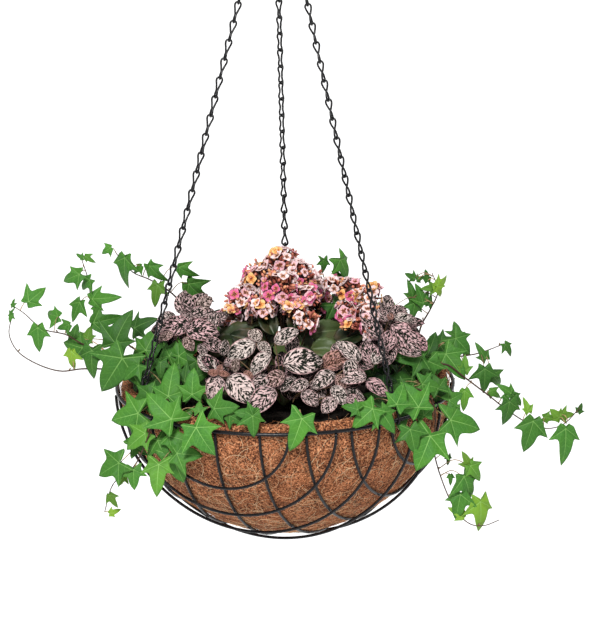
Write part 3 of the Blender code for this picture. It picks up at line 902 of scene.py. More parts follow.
def make_fibres():
    """Loose strands over the mat, and tufts of a sixth as many along its top edge."""
    for kind, first, second, count, radius in FIBRES:
        shape = Shape()
        for _ in range(count):
            lift = chance.uniform(0.0001, 0.0016)
            route = fibre_route(LINER_OUTSIDE - 0.0002, lift)
            look = (chance.random(), 0, 0)
            tube(shape, route, radius * chance.uniform(0.7, 1.3), sides=3, look=look, tip=0.5)
        for _ in range(count // 6):
            azimuth = chance.uniform(0, 360)
            inset = LINER_OUTSIDE + chance.uniform(0.001, LINER_THICKNESS)
            place, _ = bowl_point(azimuth, 0, inset)
            place.z = LINER_RISE - 0.002
            lean = around(azimuth + chance.uniform(-80, 80), 1.0, chance.uniform(0.2, 1.2))
            reach = chance.uniform(0.004, 0.012)
            curl = around(azimuth + 90, chance.uniform(-0.5, 0.5), chance.uniform(-0.6, 0.1))
            route = [place + reach * (t * lean + t * t * curl)
                     for t in (0, 0.25, 0.5, 0.75, 1.0)]
            look = (chance.random(), 0, 0)
            tube(shape, route, radius * chance.uniform(0.7, 1.2), sides=3, look=look, tip=0.4)
        finish = coir_fibre_finish(f"coir_{kind}", first, second)
        piece = shape.build(f"coir_fibres_{kind}", finish)


SOIL_TOP, SOIL_UNDERSIDE = -0.004, -0.012
CRUMBS = 420


def make_soil(finish):
    """An uneven surface, closed underneath, with loose crumbs on it."""
    shape = Shape()
    radius = RIM_RADIUS - LINER_OUTSIDE - LINER_THICKNESS + 0.0005
    rings, segments = 34, 96
    points = []
    for i in range(1, rings + 1):
        for j in range(segments):
            place = around(360 * j / segments, radius * i / rings)
            swell = 0.003 * lumps(place, 0.02, 2.0) + 0.0016 * lumps(place, 0.006, 4.0)
            place.z = SOIL_TOP + swell
            points.append(place)
    for j in range(segments):
        points.append(around(360 * j / segments, radius * 0.97, SOIL_UNDERSIDE))
    points += [Vector((0, 0, SOIL_TOP)), Vector((0, 0, SOIL_UNDERSIDE))]
    faces = [tuple(reversed(f)) for f in grid_faces(rings + 1, segments, wrap=True)]
    low = rings * segments
    for j in range(segments):
        k = (j + 1) % segments
        faces.append((j, k, len(points) - 2))
        faces.append((low + k, low + j, len(points) - 1))
    shape.add(points, faces)
    for _ in range(CRUMBS):
        place = around(chance.uniform(0, 360), radius * math.sqrt(chance.random()) * 0.98, -0.003)
        size = chance.uniform(0.0010, 0.0032)
        axis = Vector((chance.uniform(-1, 1), chance.uniform(-1, 1), chance.uniform(-1, 1)))
        ball(shape, place, (size, size * 1.3), axis, (0.5, 0, 0), 3, 5)
    soil = shape.build("soil_surface", finish)
    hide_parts("potting_soil")


# --- ivy -----------------------------------------------------------------------------------------

# Right half of a leaf with a long middle lobe, round the edge from behind the stalk. The stalk
# joins at (0, 0) and the leaf's length is 1. The three tips are sharp.
IVY_HALF_EDGE = [
    [(0.00, -0.09), (0.09, -0.17), (0.22, -0.27), (0.34, -0.35), (0.47, -0.36)],
    [(0.47, -0.36), (0.45, -0.20), (0.43, -0.06), (0.48, 0.05), (0.62, 0.20), (0.82, 0.42)],
    [(0.82, 0.42), (0.62, 0.40), (0.46, 0.38), (0.35, 0.41), (0.30, 0.53), (0.25, 0.70),
     (0.14, 0.89), (0.00, 1.06)],
]
IVY_TIP_ANGLES = (90.0, 27.0, -37.5)
IVY_RINGS = (0.16, 0.36, 0.56, 0.74, 0.88, 1.0)


def ivy_template():
    """(polar angle, radius, share of the way to the edge, bulge between veins) of each point of a
    leaf's net, and its faces."""
    half = []
    for run in IVY_HALF_EDGE:
        curve = smooth_route([(x, y, 0) for x, y in run], 0.055)
        half += curve if not half else curve[1:]
    edge = half + [Vector((-p.x, p.y, 0)) for p in reversed(half[1:-1])]
    angles = [math.atan2(p.y, p.x) for p in edge]
    veins = sorted({math.radians(a) for a in IVY_TIP_ANGLES}
                   | {math.pi - math.radians(a) for a in IVY_TIP_ANGLES})
    rows = [(0.0, 0.0, 0.0, 0.0)]
    for ring in IVY_RINGS:
        for point, angle in zip(edge, angles):
            turn = angle if angle > -math.pi / 2 else angle + 2 * math.pi
            gap = min(0.5, *(abs(turn - v) for v in veins))
            rows.append((turn, ring * point.length, ring, ring * math.sin(gap * math.pi)))
    count = len(edge)
    faces = [(0, 1 + (j + 1) % count, 1 + j) for j in range(count)]
    faces += [tuple(c + 1 for c in f) for f in grid_faces(len(IVY_RINGS), count, wrap=True)]
    return np.array(rows), [tuple(f) for f in faces]


IVY_POINTS, IVY_FACES = ivy_template()


def bell(turn, centre, width):
    """A bump of height 1 round the centre."""
    return np.exp(-((turn - centre) / width) ** 2)


def ivy_leaf(shape, base, axes, length, look, droop=0.12, base_lobes=1.0, slim=1.0):
    """One leaf. axes are its side, tip and face directions, base_lobes scales the lobes beside
    the stalk and slim scales the width."""
    turn, radius, ring, bulge = IVY_POINTS.T
    grown = 1 + chance.uniform(-0.08, 0.14) * bell(turn, math.pi / 2, 0.35)
    for centre in (0.45, math.pi - 0.45):
        grown = grown + chance.uniform(-0.22, 0.10) * bell(turn, centre, 0.40)
    for centre in (-0.67, math.pi + 0.67):
        lobe = base_lobes * chance.uniform(0.80, 1.05) - 1
        grown = grown + lobe * bell(turn, centre, 0.45)
    x, y = slim * radius * grown * np.cos(turn), radius * grown * np.sin(turn)
    curl, fold = chance.uniform(-0.04, 0.20), chance.uniform(-0.02, 0.26)
    wave = chance.uniform(0.010, 0.040)
    height = (bulge * 0.060 - droop * np.maximum(y, 0) ** 2 * (1 + 0.4 * y) - curl * x * x
              - fold * np.abs(x) - 0.10 * np.maximum(-y, 0)
              + wave * ring ** 3 * np.sin(turn * chance.choice((5, 6, 7)) + chance.uniform(0, 6)))
    places = np.stack([radius * np.cos(turn), radius * np.sin(turn), ring], axis=1)
    points = laid_out(base, axes, (length * x, length * y, length * height))
    shape.add(points, IVY_FACES, places, look)


def leaf_axes(heading, face, view=0.0):
    """(side, tip, face) of a blade whose tip points this many degrees round from across, as seen
    from the azimuth given."""
    turn = math.radians(heading)
    wanted = math.cos(turn) * around(view + 90, 1.0) + Vector((0, 0, math.sin(turn)))
    face = Vector(face).normalized()
    tip = (wanted - wanted.dot(face) * face).normalized()
    return tip.cross(face), tip, face


def facing(azimuth, lift, spread=14.0):
    """A direction out from the pot at this azimuth and lift, a little scattered."""
    azimuth += chance.uniform(-spread, spread)
    lift = math.radians(lift + chance.uniform(-spread, spread))
    return around(azimuth, math.cos(lift), math.sin(lift))


def stalk(shape, start, end, sag, radius, look, sides=6):
    """A thin stalk from the stem to a blade, bowed by sag."""
    middle = (start + end) / 2 + Vector(sag)
    route = smooth_route([start, middle, end], max(0.003, (end - start).length / 8))
    tube(shape, route, radius, sides=sides, look=look, tip=0.7)


# Leaves of each ivy clump: (across, back, up, heading, length, tone), with an optional share of
# yellow for young leaves. The heading is seen from the front: 0 points right and 90 up.
IVY_CLUMPS = {
    "left": [
        (-170, -70, 54, -123, 42, 0.45), (-178, -30, 59, 71, 33, 0.45),
        (-202, -50, 57, -90, 27, 0.5), (-146, -20, 47, 73, 28, 0.5), (-122, -122, 27, 92, 33, 0.7),
        (-119, -148, 10, 133, 35, 0.8), (-154, -112, 6, 190, 33, 0.75),
        (-93, -166, 6, -56, 34, 0.85), (-74, -162, 25, 5, 25, 0.55), (-97, -130, 31, 92, 26, 0.65),
        (-90, -156, 20, 95, 12, 0.8), (-111, -60, 52, 35, 29, 0.5), (-121, -55, 51, 65, 23, 0.45),
        (-153, -75, 47, -140, 21, 0.6), (-130, -70, 49, -85, 16, 0.4),
        (-115, -80, 44, -80, 15, 0.45), (-92, -78, 52, -85, 23, 0.4), (-158, 20, 60, 20, 22, 0.2),
        (-175, -125, -44, 203, 29, 0.4), (-160, -115, -28, 30, 24, 0.6),
        (-160, -130, -50, -88, 19, 0.65), (-133, -152, -38, -92, 27, 0.85, 0.15),
        (-119, -140, -32, -70, 30, 0.6), (-114, -150, -27, -8, 26, 0.7),
        (-147, -132, -10, 215, 26, 0.8, 0.1), (-134, -132, -18, -60, 24, 0.45),
        (-122, -140, -11, -20, 24, 0.6), (-140, -95, 20, -150, 30, 0.3),
        (-110, -130, 8, -100, 30, 0.35), (-105, -95, 35, 20, 24, 0.25),
        (-150, -60, 30, 170, 26, 0.25), (-130, -30, 40, 100, 24, 0.25), (-222, 0, 57, 92, 15, 0.3),
        (-213, -20, 51, 165, 22, 0.45), (-208, 15, 51, 85, 14, 0.4, 0.25),
        (-34, -178, 21, -88, 20, 0.6), (-34, -176, 22, 172, 18, 0.6),
        (17, -187, 20, -110, 30, 0.85), (-58, -165, 18, -30, 16, 0.3),
    ],
    "right": [
        (139, -128, 12, 120, 30, 0.85), (173, -95, -13, -6, 36, 0.75),
        (151, -128, -20, -114, 38, 0.9), (170, -30, 40, -60, 30, 0.65),
        (151, -48, 38, -92, 26, 0.5), (181, -10, 51, -50, 24, 0.4), (184, 0, 50, 80, 17, 0.35),
        (145, -115, -1, 100, 20, 0.7), (144, -95, 27, -15, 22, 0.65), (172, -80, 4, 30, 18, 0.6),
        (91, -160, 21, -135, 26, 0.75), (116, -146, 21, 60, 24, 0.8),
        (100, -156, 16, -60, 24, 0.65), (135, -40, 42, 100, 20, 0.25),
        (144, -60, 46, 182, 29, 0.5), (127, -100, 20, 170, 22, 0.4),
        (120, -120, 10, -100, 26, 0.35), (160, -70, 15, -30, 24, 0.3),
        (150, -20, 35, 60, 24, 0.25), (160, -90, 20, 110, 22, 0.3),
        (130, -135, -10, -80, 24, 0.45), (75, -165, 22, 160, 14, 0.6),
        (43, 58, 120, -105, 14, 0.5), (61, 58, 120, -55, 24, 0.75), (55, 58, 102, -10, 14, 0.6),
        (53, -12, 91, -60, 25, 0.35), (165, 20, 35, 10, 24, 0.3),
    ],
}


# The first and last azimuth of each clump, and how many leaves lie deep in it.
IVY_FILLER = {"left": (-120, -38, 26), "right": (40, 118, 26), "back": (122, 238, 34)}
# Rows of leaves at the back: (radius, height, lift, tone).
BACK_IVY_ROWS = ((0.150, 0.034, 70, 0.45), (0.186, 0.012, 25, 0.6), (0.190, -0.020, 5, 0.7))


def ivy_look(tone, young=0.0):
    """(tone, share of yellow, a number of the leaf's own), its tone a little scattered."""
    return (tone + chance.uniform(-0.16, 0.12), young, chance.random())


def make_ivy_clump(side, finish, stem):
    """The leaves of one clump, each with a stalk from inside the rim."""
    leaves, stalks = Shape(), Shape()
    for across, back, up, heading, length, tone, *young in IVY_CLUMPS[side]:
        base = Vector((across, back, up)) * MM
        out = math.degrees(math.atan2(base.x, -base.y))
        face = facing(out * 0.30, 22)
        axes = leaf_axes(heading, face)
        ivy_leaf(leaves, base, axes, length * MM, ivy_look(tone, *young),
                 chance.uniform(0.05, 0.28))
        root_turn = out + chance.uniform(-8, 8)
        root = around(root_turn, chance.uniform(0.118, 0.142), 0.012)
        start = base.lerp(root, min(1.0, 0.040 / max(0.001, (base - root).length)))
        sag = Vector((0, 0, 0.006)) - axes[2] * 0.004
        stalk(stalks, start - axes[2] * 0.006, base - axes[2] * STALK_BEHIND, sag,
              STALK_RADIUS, (chance.uniform(0.2, 0.6), 0, 0))
    add_filler(leaves, side)
    piece = leaves.build(f"ivy_leaves_{side}", finish, LEAF_THICKNESS)
    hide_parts(f"ivy_{side}")
    piece = stalks.build(f"ivy_stalks_{side}", stem)


def add_filler(leaves, side):
    """Leaves deep in a clump, given a low tone that paints the shade there."""
    first, last, count = IVY_FILLER[side]
    for _ in range(count):
        azimuth = chance.uniform(first, last)
        base = around(azimuth, chance.uniform(0.112, 0.158), chance.uniform(0.008, 0.034))
        axes = leaf_axes(chance.uniform(-170, 170), facing(azimuth, 40, 35), azimuth)
        # A tone of 0.16 darkens these leaves as painted shade.
        ivy_leaf(leaves, base, axes, chance.uniform(0.018, 0.028), ivy_look(0.16))


def make_back_ivy(finish, stem):
    """Leaves that spill over the back of the rim, in three loose rows."""
    leaves, stalks = Shape(), Shape()
    first, last, _ = IVY_FILLER["back"]
    for radius, height, lift, tone in BACK_IVY_ROWS:
        azimuth = first + chance.uniform(0, 8)
        while azimuth < last:
            base = around(azimuth, radius + chance.uniform(-0.005, 0.004),
                          height + chance.uniform(-0.010, 0.010))
            axes = leaf_axes(-90 + chance.uniform(-70, 70), facing(azimuth, lift), azimuth)
            ivy_leaf(leaves, base, axes, chance.uniform(0.022, 0.036), ivy_look(tone),
                     chance.uniform(0.05, 0.3))
            root = around(azimuth + chance.uniform(-5, 5), 0.150, 0.018)
            stalk(stalks, root, base - axes[2] * STALK_BEHIND, (0, 0, 0.008),
                  STALK_RADIUS, (chance.uniform(0.2, 0.6), 0, 0))
            azimuth += chance.uniform(9, 16)
    add_filler(leaves, "back")
    piece = leaves.build("ivy_leaves_back", finish, LEAF_THICKNESS)
    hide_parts("ivy_back")
    piece = stalks.build("ivy_stalks_back", stem)


# Each trailing stem: the points of its route, then its leaves, given as in the clumps.
VINES = {
    "left_upper": ([
        (-104, 62, 60), (-112, 62, 78), (-126, 60, 92), (-143, 57, 103), (-160, 55, 112),
        (-176, 52, 133),
    ], [
        (-182, 50, 140, 205, 13, 0.75), (-167, 46, 130, -98, 30, 0.7),
        (-141, 48, 120, -45, 24, 0.75), (-150, 50, 119, -150, 14, 0.55),
        (-133, 50, 98, -97, 20, 0.35, 0.2), (-110, 54, 116, -27, 20, 0.65),
        (-100, 56, 97, -40, 29, 0.55),
    ]),
    "left_high": ([
        (-152, 8, 36), (-168, 12, 46), (-188, 18, 60), (-195, 20, 78), (-203, 20, 94),
        (-206, 20, 115), (-212, 20, 136),
    ], [
        (-208, 16, 141, -30, 12, 0.75, 0.1), (-211, 18, 139, 165, 9, 0.65),
        (-215, 14, 122, 200, 23, 0.7), (-204, 16, 115, 215, 18, 0.7), (-202, 16, 94, 3, 27, 0.7),
        (-198, 14, 86, -100, 12, 0.7), (-215, 8, 93, -115, 23, 0.65), (-201, 8, 70, 12, 27, 0.5),
    ]),
    "left_far": ([
        (-154, -10, 28), (-182, -16, 42), (-212, -20, 55), (-230, -20, 66), (-250, -20, 71),
        (-262, -20, 79), (-273, -20, 90), (-284, -20, 98),
    ], [
        (-268, -24, 104, 40, 23, 0.8), (-259, -26, 76, -90, 28, 0.75),
        (-285, -22, 99, 100, 8, 0.55), (-238, -6, 82, 170, 20, 0.65),
        (-226, -24, 78, -160, 16, 0.6),
    ]),
    "left_curl": ([
        (-152, -30, 22), (-180, -36, 31), (-212, -40, 34), (-236, -40, 32), (-260, -40, 40),
        (-280, -40, 54), (-289, -40, 73), (-286, -40, 92),
    ], [
        (-286, -41, 95, -110, 8, 0.7), (-287, -40, 96, 60, 6, 0.6),
        (-224, -42, 54, -92, 19, 0.9, 0.75),
    ]),
    "front_left": ([
        (-108, -108, 22), (-124, -126, 24), (-136, -138, 10), (-146, -136, -18), (-160, -120, -50),
        (-182, -102, -74), (-192, -98, -106),
    ], [
        (-186, -102, -86, -60, 15, 0.45, 0.2), (-186, -100, -107, 20, 10, 0.8, 0.75),
        (-170, -112, -62, -120, 12, 0.6, 0.3),
    ]),
    "right_upper": ([
        (143, 53, 38), (147, 53, 50), (156, 52, 66), (164, 50, 86), (158, 50, 106),
    ], [
        (139, 48, 101, 150, 11, 0.35), (142, 48, 99, 20, 9, 0.35), (153, 48, 98, 85, 12, 0.4),
        (163, 46, 93, 15, 16, 0.95, 0.75), (162, 46, 92, -58, 14, 0.95, 0.75),
        (160, 48, 90, 185, 14, 0.6, 0.2), (137, 46, 80, 95, 18, 0.45), (148, 46, 74, 105, 22, 0.5),
        (139, 44, 75, -112, 19, 0.5), (129, 46, 65, 195, 13, 0.6, 0.15),
        (154, 50, 71, 60, 11, 0.15), (116, 38, 73, 165, 15, 0.45, 0.3),
        (132, 26, 48, 0, 18, 0.5, 0.15),
    ]),
    "right_middle": ([
        (154, -8, 26), (176, -10, 30), (204, -10, 34), (232, -10, 44),
    ], [
        (211, -24, 21, -92, 24, 0.4), (218, -18, 14, -50, 21, 0.45), (212, -14, 30, 120, 16, 0.45),
        (233, -12, 44, -55, 13, 0.4), (189, -34, 22, 80, 15, 0.6, 0.2),
    ]),
    "right_long": ([
        (150, -32, 26), (170, -38, 31), (188, -40, 18), (215, -40, -4), (234, -40, -20),
        (256, -40, -35), (276, -40, -41), (294, -40, -36), (311, -40, -18),
    ], [
        (189, -46, 4, -92, 20, 0.8, 0.2), (216, -38, 1, -35, 15, 0.75, 0.1),
        (238, -42, -1, 145, 16, 0.45), (240, -42, -3, -50, 16, 0.4),
        (236, -46, -9, -100, 28, 0.25), (261, -46, -31, -107, 36, 0.6),
        (256, -36, -23, 95, 14, 0.95, 0.55), (273, -36, -30, -10, 15, 0.6, 0.2),
        (295, -46, -40, -100, 32, 0.65), (289, -32, -32, 135, 15, 0.5, 0.35),
        (291, -30, -30, 0, 14, 0.5, 0.3), (309, -38, -24, 60, 10, 0.2),
    ]),
    "front_right": ([
        (124, -92, 24), (144, -104, 22), (156, -110, 6), (156, -108, -24), (156, -104, -50),
        (166, -100, -86), (178, -100, -112), (192, -100, -126), (207, -100, -128),
        (223, -100, -122),
    ], [
        (170, -102, -50, -90, 10, 0.2), (192, -102, -61, 113, 16, 0.35, 0.3),
        (193, -103, -61, -50, 21, 0.8, 0.15), (172, -102, -71, -90, 10, 0.75),
        (186, -105, -72, -66, 29, 0.65), (182, -104, -92, -100, 27, 0.7),
        (185, -102, -117, 145, 15, 0.95, 0.7), (203, -102, -101, -88, 31, 0.75, 0.55),
    ]),
    "back_left": ([
        (-60, 142, 26), (-72, 168, 26), (-78, 184, 10), (-76, 186, -30), (-70, 180, -75),
        (-66, 176, -112),
    ], [
        (-84, 188, -10, -50, 26, 0.65), (-66, 188, -34, 230, 24, 0.7),
        (-80, 186, -58, -70, 22, 0.65), (-62, 182, -84, 250, 20, 0.75),
        (-72, 180, -104, -40, 16, 0.85, 0.3), (-66, 178, -114, -95, 12, 0.9, 0.7),
    ]),
    "back_right": ([
        (66, 140, 26), (82, 164, 24), (90, 178, 8), (88, 178, -30), (80, 172, -70),
    ], [
        (98, 182, -6, 240, 26, 0.65), (78, 186, -26, -60, 24, 0.6), (92, 180, -48, 220, 20, 0.75),
        (80, 176, -72, -90, 16, 0.85, 0.4),
    ]),
}


def make_vine(label, finish, stem):
    """A trailing stem with its leaves on stalks and small buds along it."""
    points, leaves_on_it = VINES[label]
    route = smooth_route([Vector(p) * MM for p in points], 0.004)
    turned_away = label.startswith("back")
    stems, leaves = Shape(), Shape()
    tube(stems, route, VINE_SLIMNESS * VINE_RADIUS, sides=9, look=(0.95, 0, 0), tip=0.45)
    for across, back, up, heading, length, tone, *young in leaves_on_it:
        base = Vector((across, back, up)) * MM
        node = min(route, key=lambda p: (p - base).length + 0.3 * abs(p.z - base.z))
        out = math.degrees(math.atan2(base.x, -base.y))
        if turned_away:
            axes = leaf_axes(180 - heading, facing(out, 12), 180.0)
        else:
            axes = leaf_axes(heading, facing(out * 0.25, 12))
        ivy_leaf(leaves, base, axes, length * MM, ivy_look(tone, *young),
                 chance.uniform(0.05, 0.45), chance.uniform(0.45, 0.90),
                 chance.uniform(0.66, 0.90))
        stalk(stems, node, base - axes[2] * 0.0008, (0, 0, 0.25 * (base - node).length),
              0.00055, (chance.uniform(0.35, 0.8), 0, 0))
    for step in range(4, len(route) - 1, 5):
        if chance.random() < 0.5:
            bud = route[step] + Vector((chance.uniform(-1, 1), chance.uniform(-1, 1), 1)) * 0.0015
            axis = (chance.uniform(-1, 1), chance.uniform(-1, 1), 1)
            ball(stems, bud, (0.0009, 0.0018), axis, (0.8, 0, 0), 3, 6)
    piece = stems.build(f"vine_stem_{label}", stem)
    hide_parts(f"ivy_vine_{label}")
    piece = leaves.build(f"vine_leaves_{label}", finish, LEAF_THICKNESS)


# --- spotted plants ------------------------------------------------------------------------------


def oval_leaf(shape, base, axes, length, width, look, droop=0.2, scallops=0.0, crease=0.10):
    """A pointed oval blade, with quilting between its side veins."""
    along, across = grid = blade_grid(15, 9)
    half = width / 2 * np.sin(np.pi * along ** 0.86) ** 0.62 + 0.0004
    half = half * (1 + scallops * np.sin(along * 34))
    bend = chance.uniform(-0.06, 0.06)
    x = half * across + bend * length * along * along
    quilt = 0.012 * np.sin(2 * np.pi * (along * 7.5 - np.abs(across) * 2.4)) * (1 - across ** 4)
    cup = chance.uniform(-0.05, 0.12)
    height = length * (crease * np.abs(across) ** 0.8 * half / width * 2 - droop * along ** 2
                       + quilt - cup * across ** 2 * along
                       + 0.02 * np.sin(along * 9 + across * 3 + chance.uniform(0, 6)))
    add_blade(shape, grid, base, axes, (x, length * along, height), look)


# Each plant's root (across, back), then its leaves (across, back, up, heading, length, pink, dark)
# with an optional share of salmon for young leaves.
SPOTTED_PLANTS = {
    "front": ((0, -108), [
        (-74, -110, 48, 118, 27, 0.1, 0.2), (-69, -126, 50, -103, 28, 0.45, 0.15),
        (-59, -132, 50, -47, 38, 0.25, 0.15), (-30, -100, 77, -151, 32, 0.05, 0.25),
        (-27, -98, 77, 103, 20, 0.0, 0.3, 0.15), (-27, -103, 78, -57, 18, 0.0, 0.3, 0.1),
        (-10, -105, 78, 31, 27, 0.15, 0.3), (-14, -120, 70, -135, 28, 0.1, 0.25),
        (-50, -105, 62, -95, 15, 0.1, 0.5, 0.3), (-34, -126, 46, 118, 12, 0.3, 0.1, 0.8),
        (-69, -129, 53, 170, 11, 0.4, 0.0, 0.9), (-69, -129, 53, -10, 11, 0.4, 0.0, 0.9),
        (-69, -128, 53, 75, 10, 0.4, 0.0, 0.8), (-10, -146, 40, -130, 34, 0.55, 0.3),
        (-17, -126, 49, -128, 25, 0.35, 0.8), (0, -130, 52, -148, 23, 0.5, 0.5, 0.3),
        (-63, -90, 60, 95, 17, 0.3, 0.95), (-81, -85, 61, 130, 16, 0.4, 0.8),
        (-61, -105, 53, 78, 15, 0.5, 0.5), (12, -126, 46, -120, 21, 0.3, 0.95),
        (-2, -125, 61, 12, 43, 0.25, 0.45), (78, -105, 55, 112, 31, 0.2, 0.3),
        (69, -110, 60, -90, 22, 0.2, 0.5), (40, -105, 51, 45, 31, 0.5, 0.3, 0.7),
        (41, -109, 52, 18, 23, 0.5, 0.2, 0.8), (52, -126, 51, -135, 27, 0.25, 0.6),
        (58, -131, 51, -88, 18, 0.4, 0.3, 0.5), (85, -131, 47, -165, 25, 0.4, 0.3),
        (84, -128, 45, 130, 16, 0.7, 0.3), (84, -129, 42, -36, 27, 0.8, 0.35),
        (17, -141, 35, -40, 22, 0.45, 0.3), (52, -149, 31, -125, 20, 0.4, 0.2),
        (49, -143, 41, -57, 23, 0.15, 0.3), (63, -146, 28, -15, 19, 0.6, 0.25),
        (63, -136, 33, -20, 21, 0.3, 0.95), (20, -112, 55, 100, 22, 0.4, 0.7),
        (5, -95, 62, 70, 22, 0.4, 0.9), (-45, -88, 66, 40, 20, 0.5, 0.9),
        (30, -120, 42, -80, 24, 0.4, 0.7), (-40, -112, 44, -90, 24, 0.4, 0.8),
        (58, -90, 50, 80, 24, 0.4, 0.8), (25, -135, 44, -150, 20, 0.3, 0.5),
    ]),
    "right": ((92, -20), [
        (91, -96, 49, 92, 29, 0.7, 0.45), (93, -99, 51, 70, 23, 0.15, 0.4),
        (104, -80, 59, 73, 25, 0.75, 0.3), (113, -60, 82, -50, 34, 0.75, 0.35),
        (131, -55, 69, -46, 24, 0.95, 0.3), (116, -50, 87, 0, 19, 0.15, 0.35),
        (112, -52, 86, 150, 17, 0.5, 0.4), (110, -54, 86, 60, 10, 0.5, 0.1, 0.8),
        (101, -70, 71, 120, 24, 0.6, 0.7), (92, -62, 82, 95, 22, 0.6, 0.8),
        (126, -56, 74, -70, 26, 0.7, 0.5), (122, -40, 80, 20, 20, 0.5, 0.5),
        (108, -66, 66, -95, 26, 0.6, 0.6), (118, -66, 60, -30, 26, 0.5, 0.8),
        (100, -40, 80, 60, 24, 0.5, 0.6), (110, -15, 75, 30, 26, 0.5, 0.5),
        (104, 10, 70, 60, 26, 0.4, 0.5), (118, 0, 62, -20, 28, 0.6, 0.4),
        (96, 30, 68, 100, 24, 0.3, 0.5), (112, 34, 56, 10, 26, 0.5, 0.4),
    ]),
    "left": ((-92, -20), [
        (-98, -55, 85, 183, 31, 0.75, 0.6), (-103, -61, 81, -12, 33, 0.75, 0.6),
        (-113, -40, 88, 170, 20, 0.25, 0.5), (-99, -40, 90, 10, 26, 0.5, 0.9),
        (-78, -55, 76, 85, 22, 0.4, 0.8), (-116, -60, 76, 190, 16, 0.35, 0.4, 0.3),
        (-104, -64, 74, -60, 16, 0.3, 0.4, 0.3), (-96, -30, 92, 120, 22, 0.6, 0.7),
        (-92, -34, 95, 40, 20, 0.2, 0.6, 0.2), (-118, -42, 84, 212, 18, 0.5, 0.6),
        (-85, -70, 71, -20, 24, 0.65, 0.7), (-90, -50, 84, -40, 22, 0.6, 0.8),
        (-108, -50, 84, 60, 18, 0.5, 0.8), (-118, -20, 78, 170, 28, 0.5, 0.5),
        (-106, 0, 80, 110, 26, 0.5, 0.5), (-100, 24, 74, 60, 26, 0.4, 0.6),
        (-116, 22, 64, 190, 28, 0.5, 0.5), (-92, 44, 68, 120, 24, 0.4, 0.6),
        (-80, -40, 82, 20, 22, 0.5, 0.9), (-118, -4, 64, 200, 28, 0.6, 0.5),
    ]),
}


# The two corners of the box that holds each plant's lower leaves, darkened with more dark marks as
# painted shade, and how many there are.
SPOTTED_FILLER = {
    "front": ((-72, -108, 24), (76, -74, 50), 46),
    "right": ((84, -60, 40), (122, 20, 70), 22),
    "left": ((-116, -52, 50), (-84, 30, 76), 22),
}
# Whorls of leaves on each shoot at the back: (radius, height).
BACK_WHORLS = ((0.070, 0.074), (0.092, 0.062), (0.112, 0.042))


def make_spotted_plant(side, finish, stem):
    """One plant: its leaves on stalks from its root, over lower ones darkened as painted shade."""
    (root_x, root_y), places = SPOTTED_PLANTS[side]
    root = Vector((root_x, root_y, 4)) * MM
    leaves, stalks = Shape(), Shape()
    for across, back, up, heading, length, pink, dark, *young in places:
        base = Vector((across, back, up)) * MM
        out = math.degrees(math.atan2(base.x - root.x * 0.4, -base.y + root.y * 0.2))
        turn = max(-35.0, min(35.0, out * 0.35))
        axes = leaf_axes(heading, facing(turn, 38, 16))
        length *= MM
        look = (pink, dark, young[0] if young else 0.0)
        oval_leaf(leaves, base, axes, length * 1.05, length * chance.uniform(0.60, 0.76), look,
                  chance.uniform(0.05, 0.3))
        grow = (base - root) * 0.45 + root
        stalk(stalks, grow, base - axes[2] * 0.001, (0, 0, 0.003), STALK_RADIUS,
              (chance.uniform(0.75, 1.0), 0, 0))
    low, high, count = SPOTTED_FILLER[side]
    for _ in range(count):
        base = Vector([chance.uniform(a, b) for a, b in zip(low, high)]) * MM
        axes = leaf_axes(chance.uniform(-180, 180), facing(0, 45, 30))
        length = chance.uniform(0.018, 0.027)
        # A dark of 1.0 to 1.6 spreads the dark marks over these lower leaves: painted shade.
        oval_leaf(leaves, base, axes, length, length * 0.7,
                  (chance.uniform(0.4, 1.0), chance.uniform(1.0, 1.6), 0.0), 0.15)
    piece = leaves.build(f"spotted_leaves_{side}", finish, LEAF_THICKNESS)
    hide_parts(f"polka_dot_plant_{side}")
    piece = stalks.build(f"spotted_stalks_{side}", stem)


def make_back_spotted_plant(finish, stem):
    """A looser plant at the back, its leaves in whorls round a few shoots."""
    leaves, stalks = Shape(), Shape()
    for azimuth in range(150, 214, 10):
        for radius, height in BACK_WHORLS:
            turn = azimuth + chance.uniform(-4, 4)
            top = around(turn, radius, height + chance.uniform(-0.006, 0.006))
            stalk(stalks, around(turn, radius, 0.0), top, (0, 0, 0.002),
                  0.0011, (0.45, 0, 0))
            for number in range(3):
                heading = 120 * number + chance.uniform(-25, 25)
                face = facing(turn, 45, 20)
                axes = leaf_axes(heading, face, turn)
                look = (chance.uniform(0.1, 0.8), chance.uniform(0.2, 0.8), 0.0)
                length = chance.uniform(0.020, 0.033)
                oval_leaf(leaves, top, axes, length, length * 0.6, look,
                          chance.uniform(0.1, 0.35))
    piece = leaves.build("spotted_leaves_back", finish, LEAF_THICKNESS)
    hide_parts("polka_dot_plant_back")
    piece = stalks.build("spotted_stalks_back", stem)


# --- flowers -------------------------------------------------------------------------------------

# Heads of flowers: (across, back, up, radius).
FLOWER_HEADS = [
    (-2, 0, 134, 14), (-24, -8, 119, 14), (17, -8, 121, 14), (-4, -32, 115, 16),
    (-42, -8, 100, 13), (-57, -18, 82, 9), (-24, -42, 97, 12), (22, -36, 106, 11),
    (24, -62, 87, 9), (11, -52, 99, 9), (54, -10, 111, 8), (72, -16, 107, 10), (93, -30, 107, 8),
    (67, -30, 89, 9), (87, -44, 87, 10), (71, -52, 79, 7), (91, -56, 75, 6), (0, 34, 114, 16),
    (-26, 30, 98, 15), (26, 30, 100, 15), (0, 56, 86, 16), (-32, 52, 78, 13), (34, 50, 78, 13),
    (68, 20, 88, 10),
]
FLOWER_SIZE = 0.0062
FLOWER_SHARE = 0.64  # of a head's places; the others hold clusters of buds
FLOWER_KINDS = {0.0: 0.76, 0.5: 0.13, 1.0: 0.11}  # how common each kind of petal is
GOLDEN_ANGLE = 2.39996


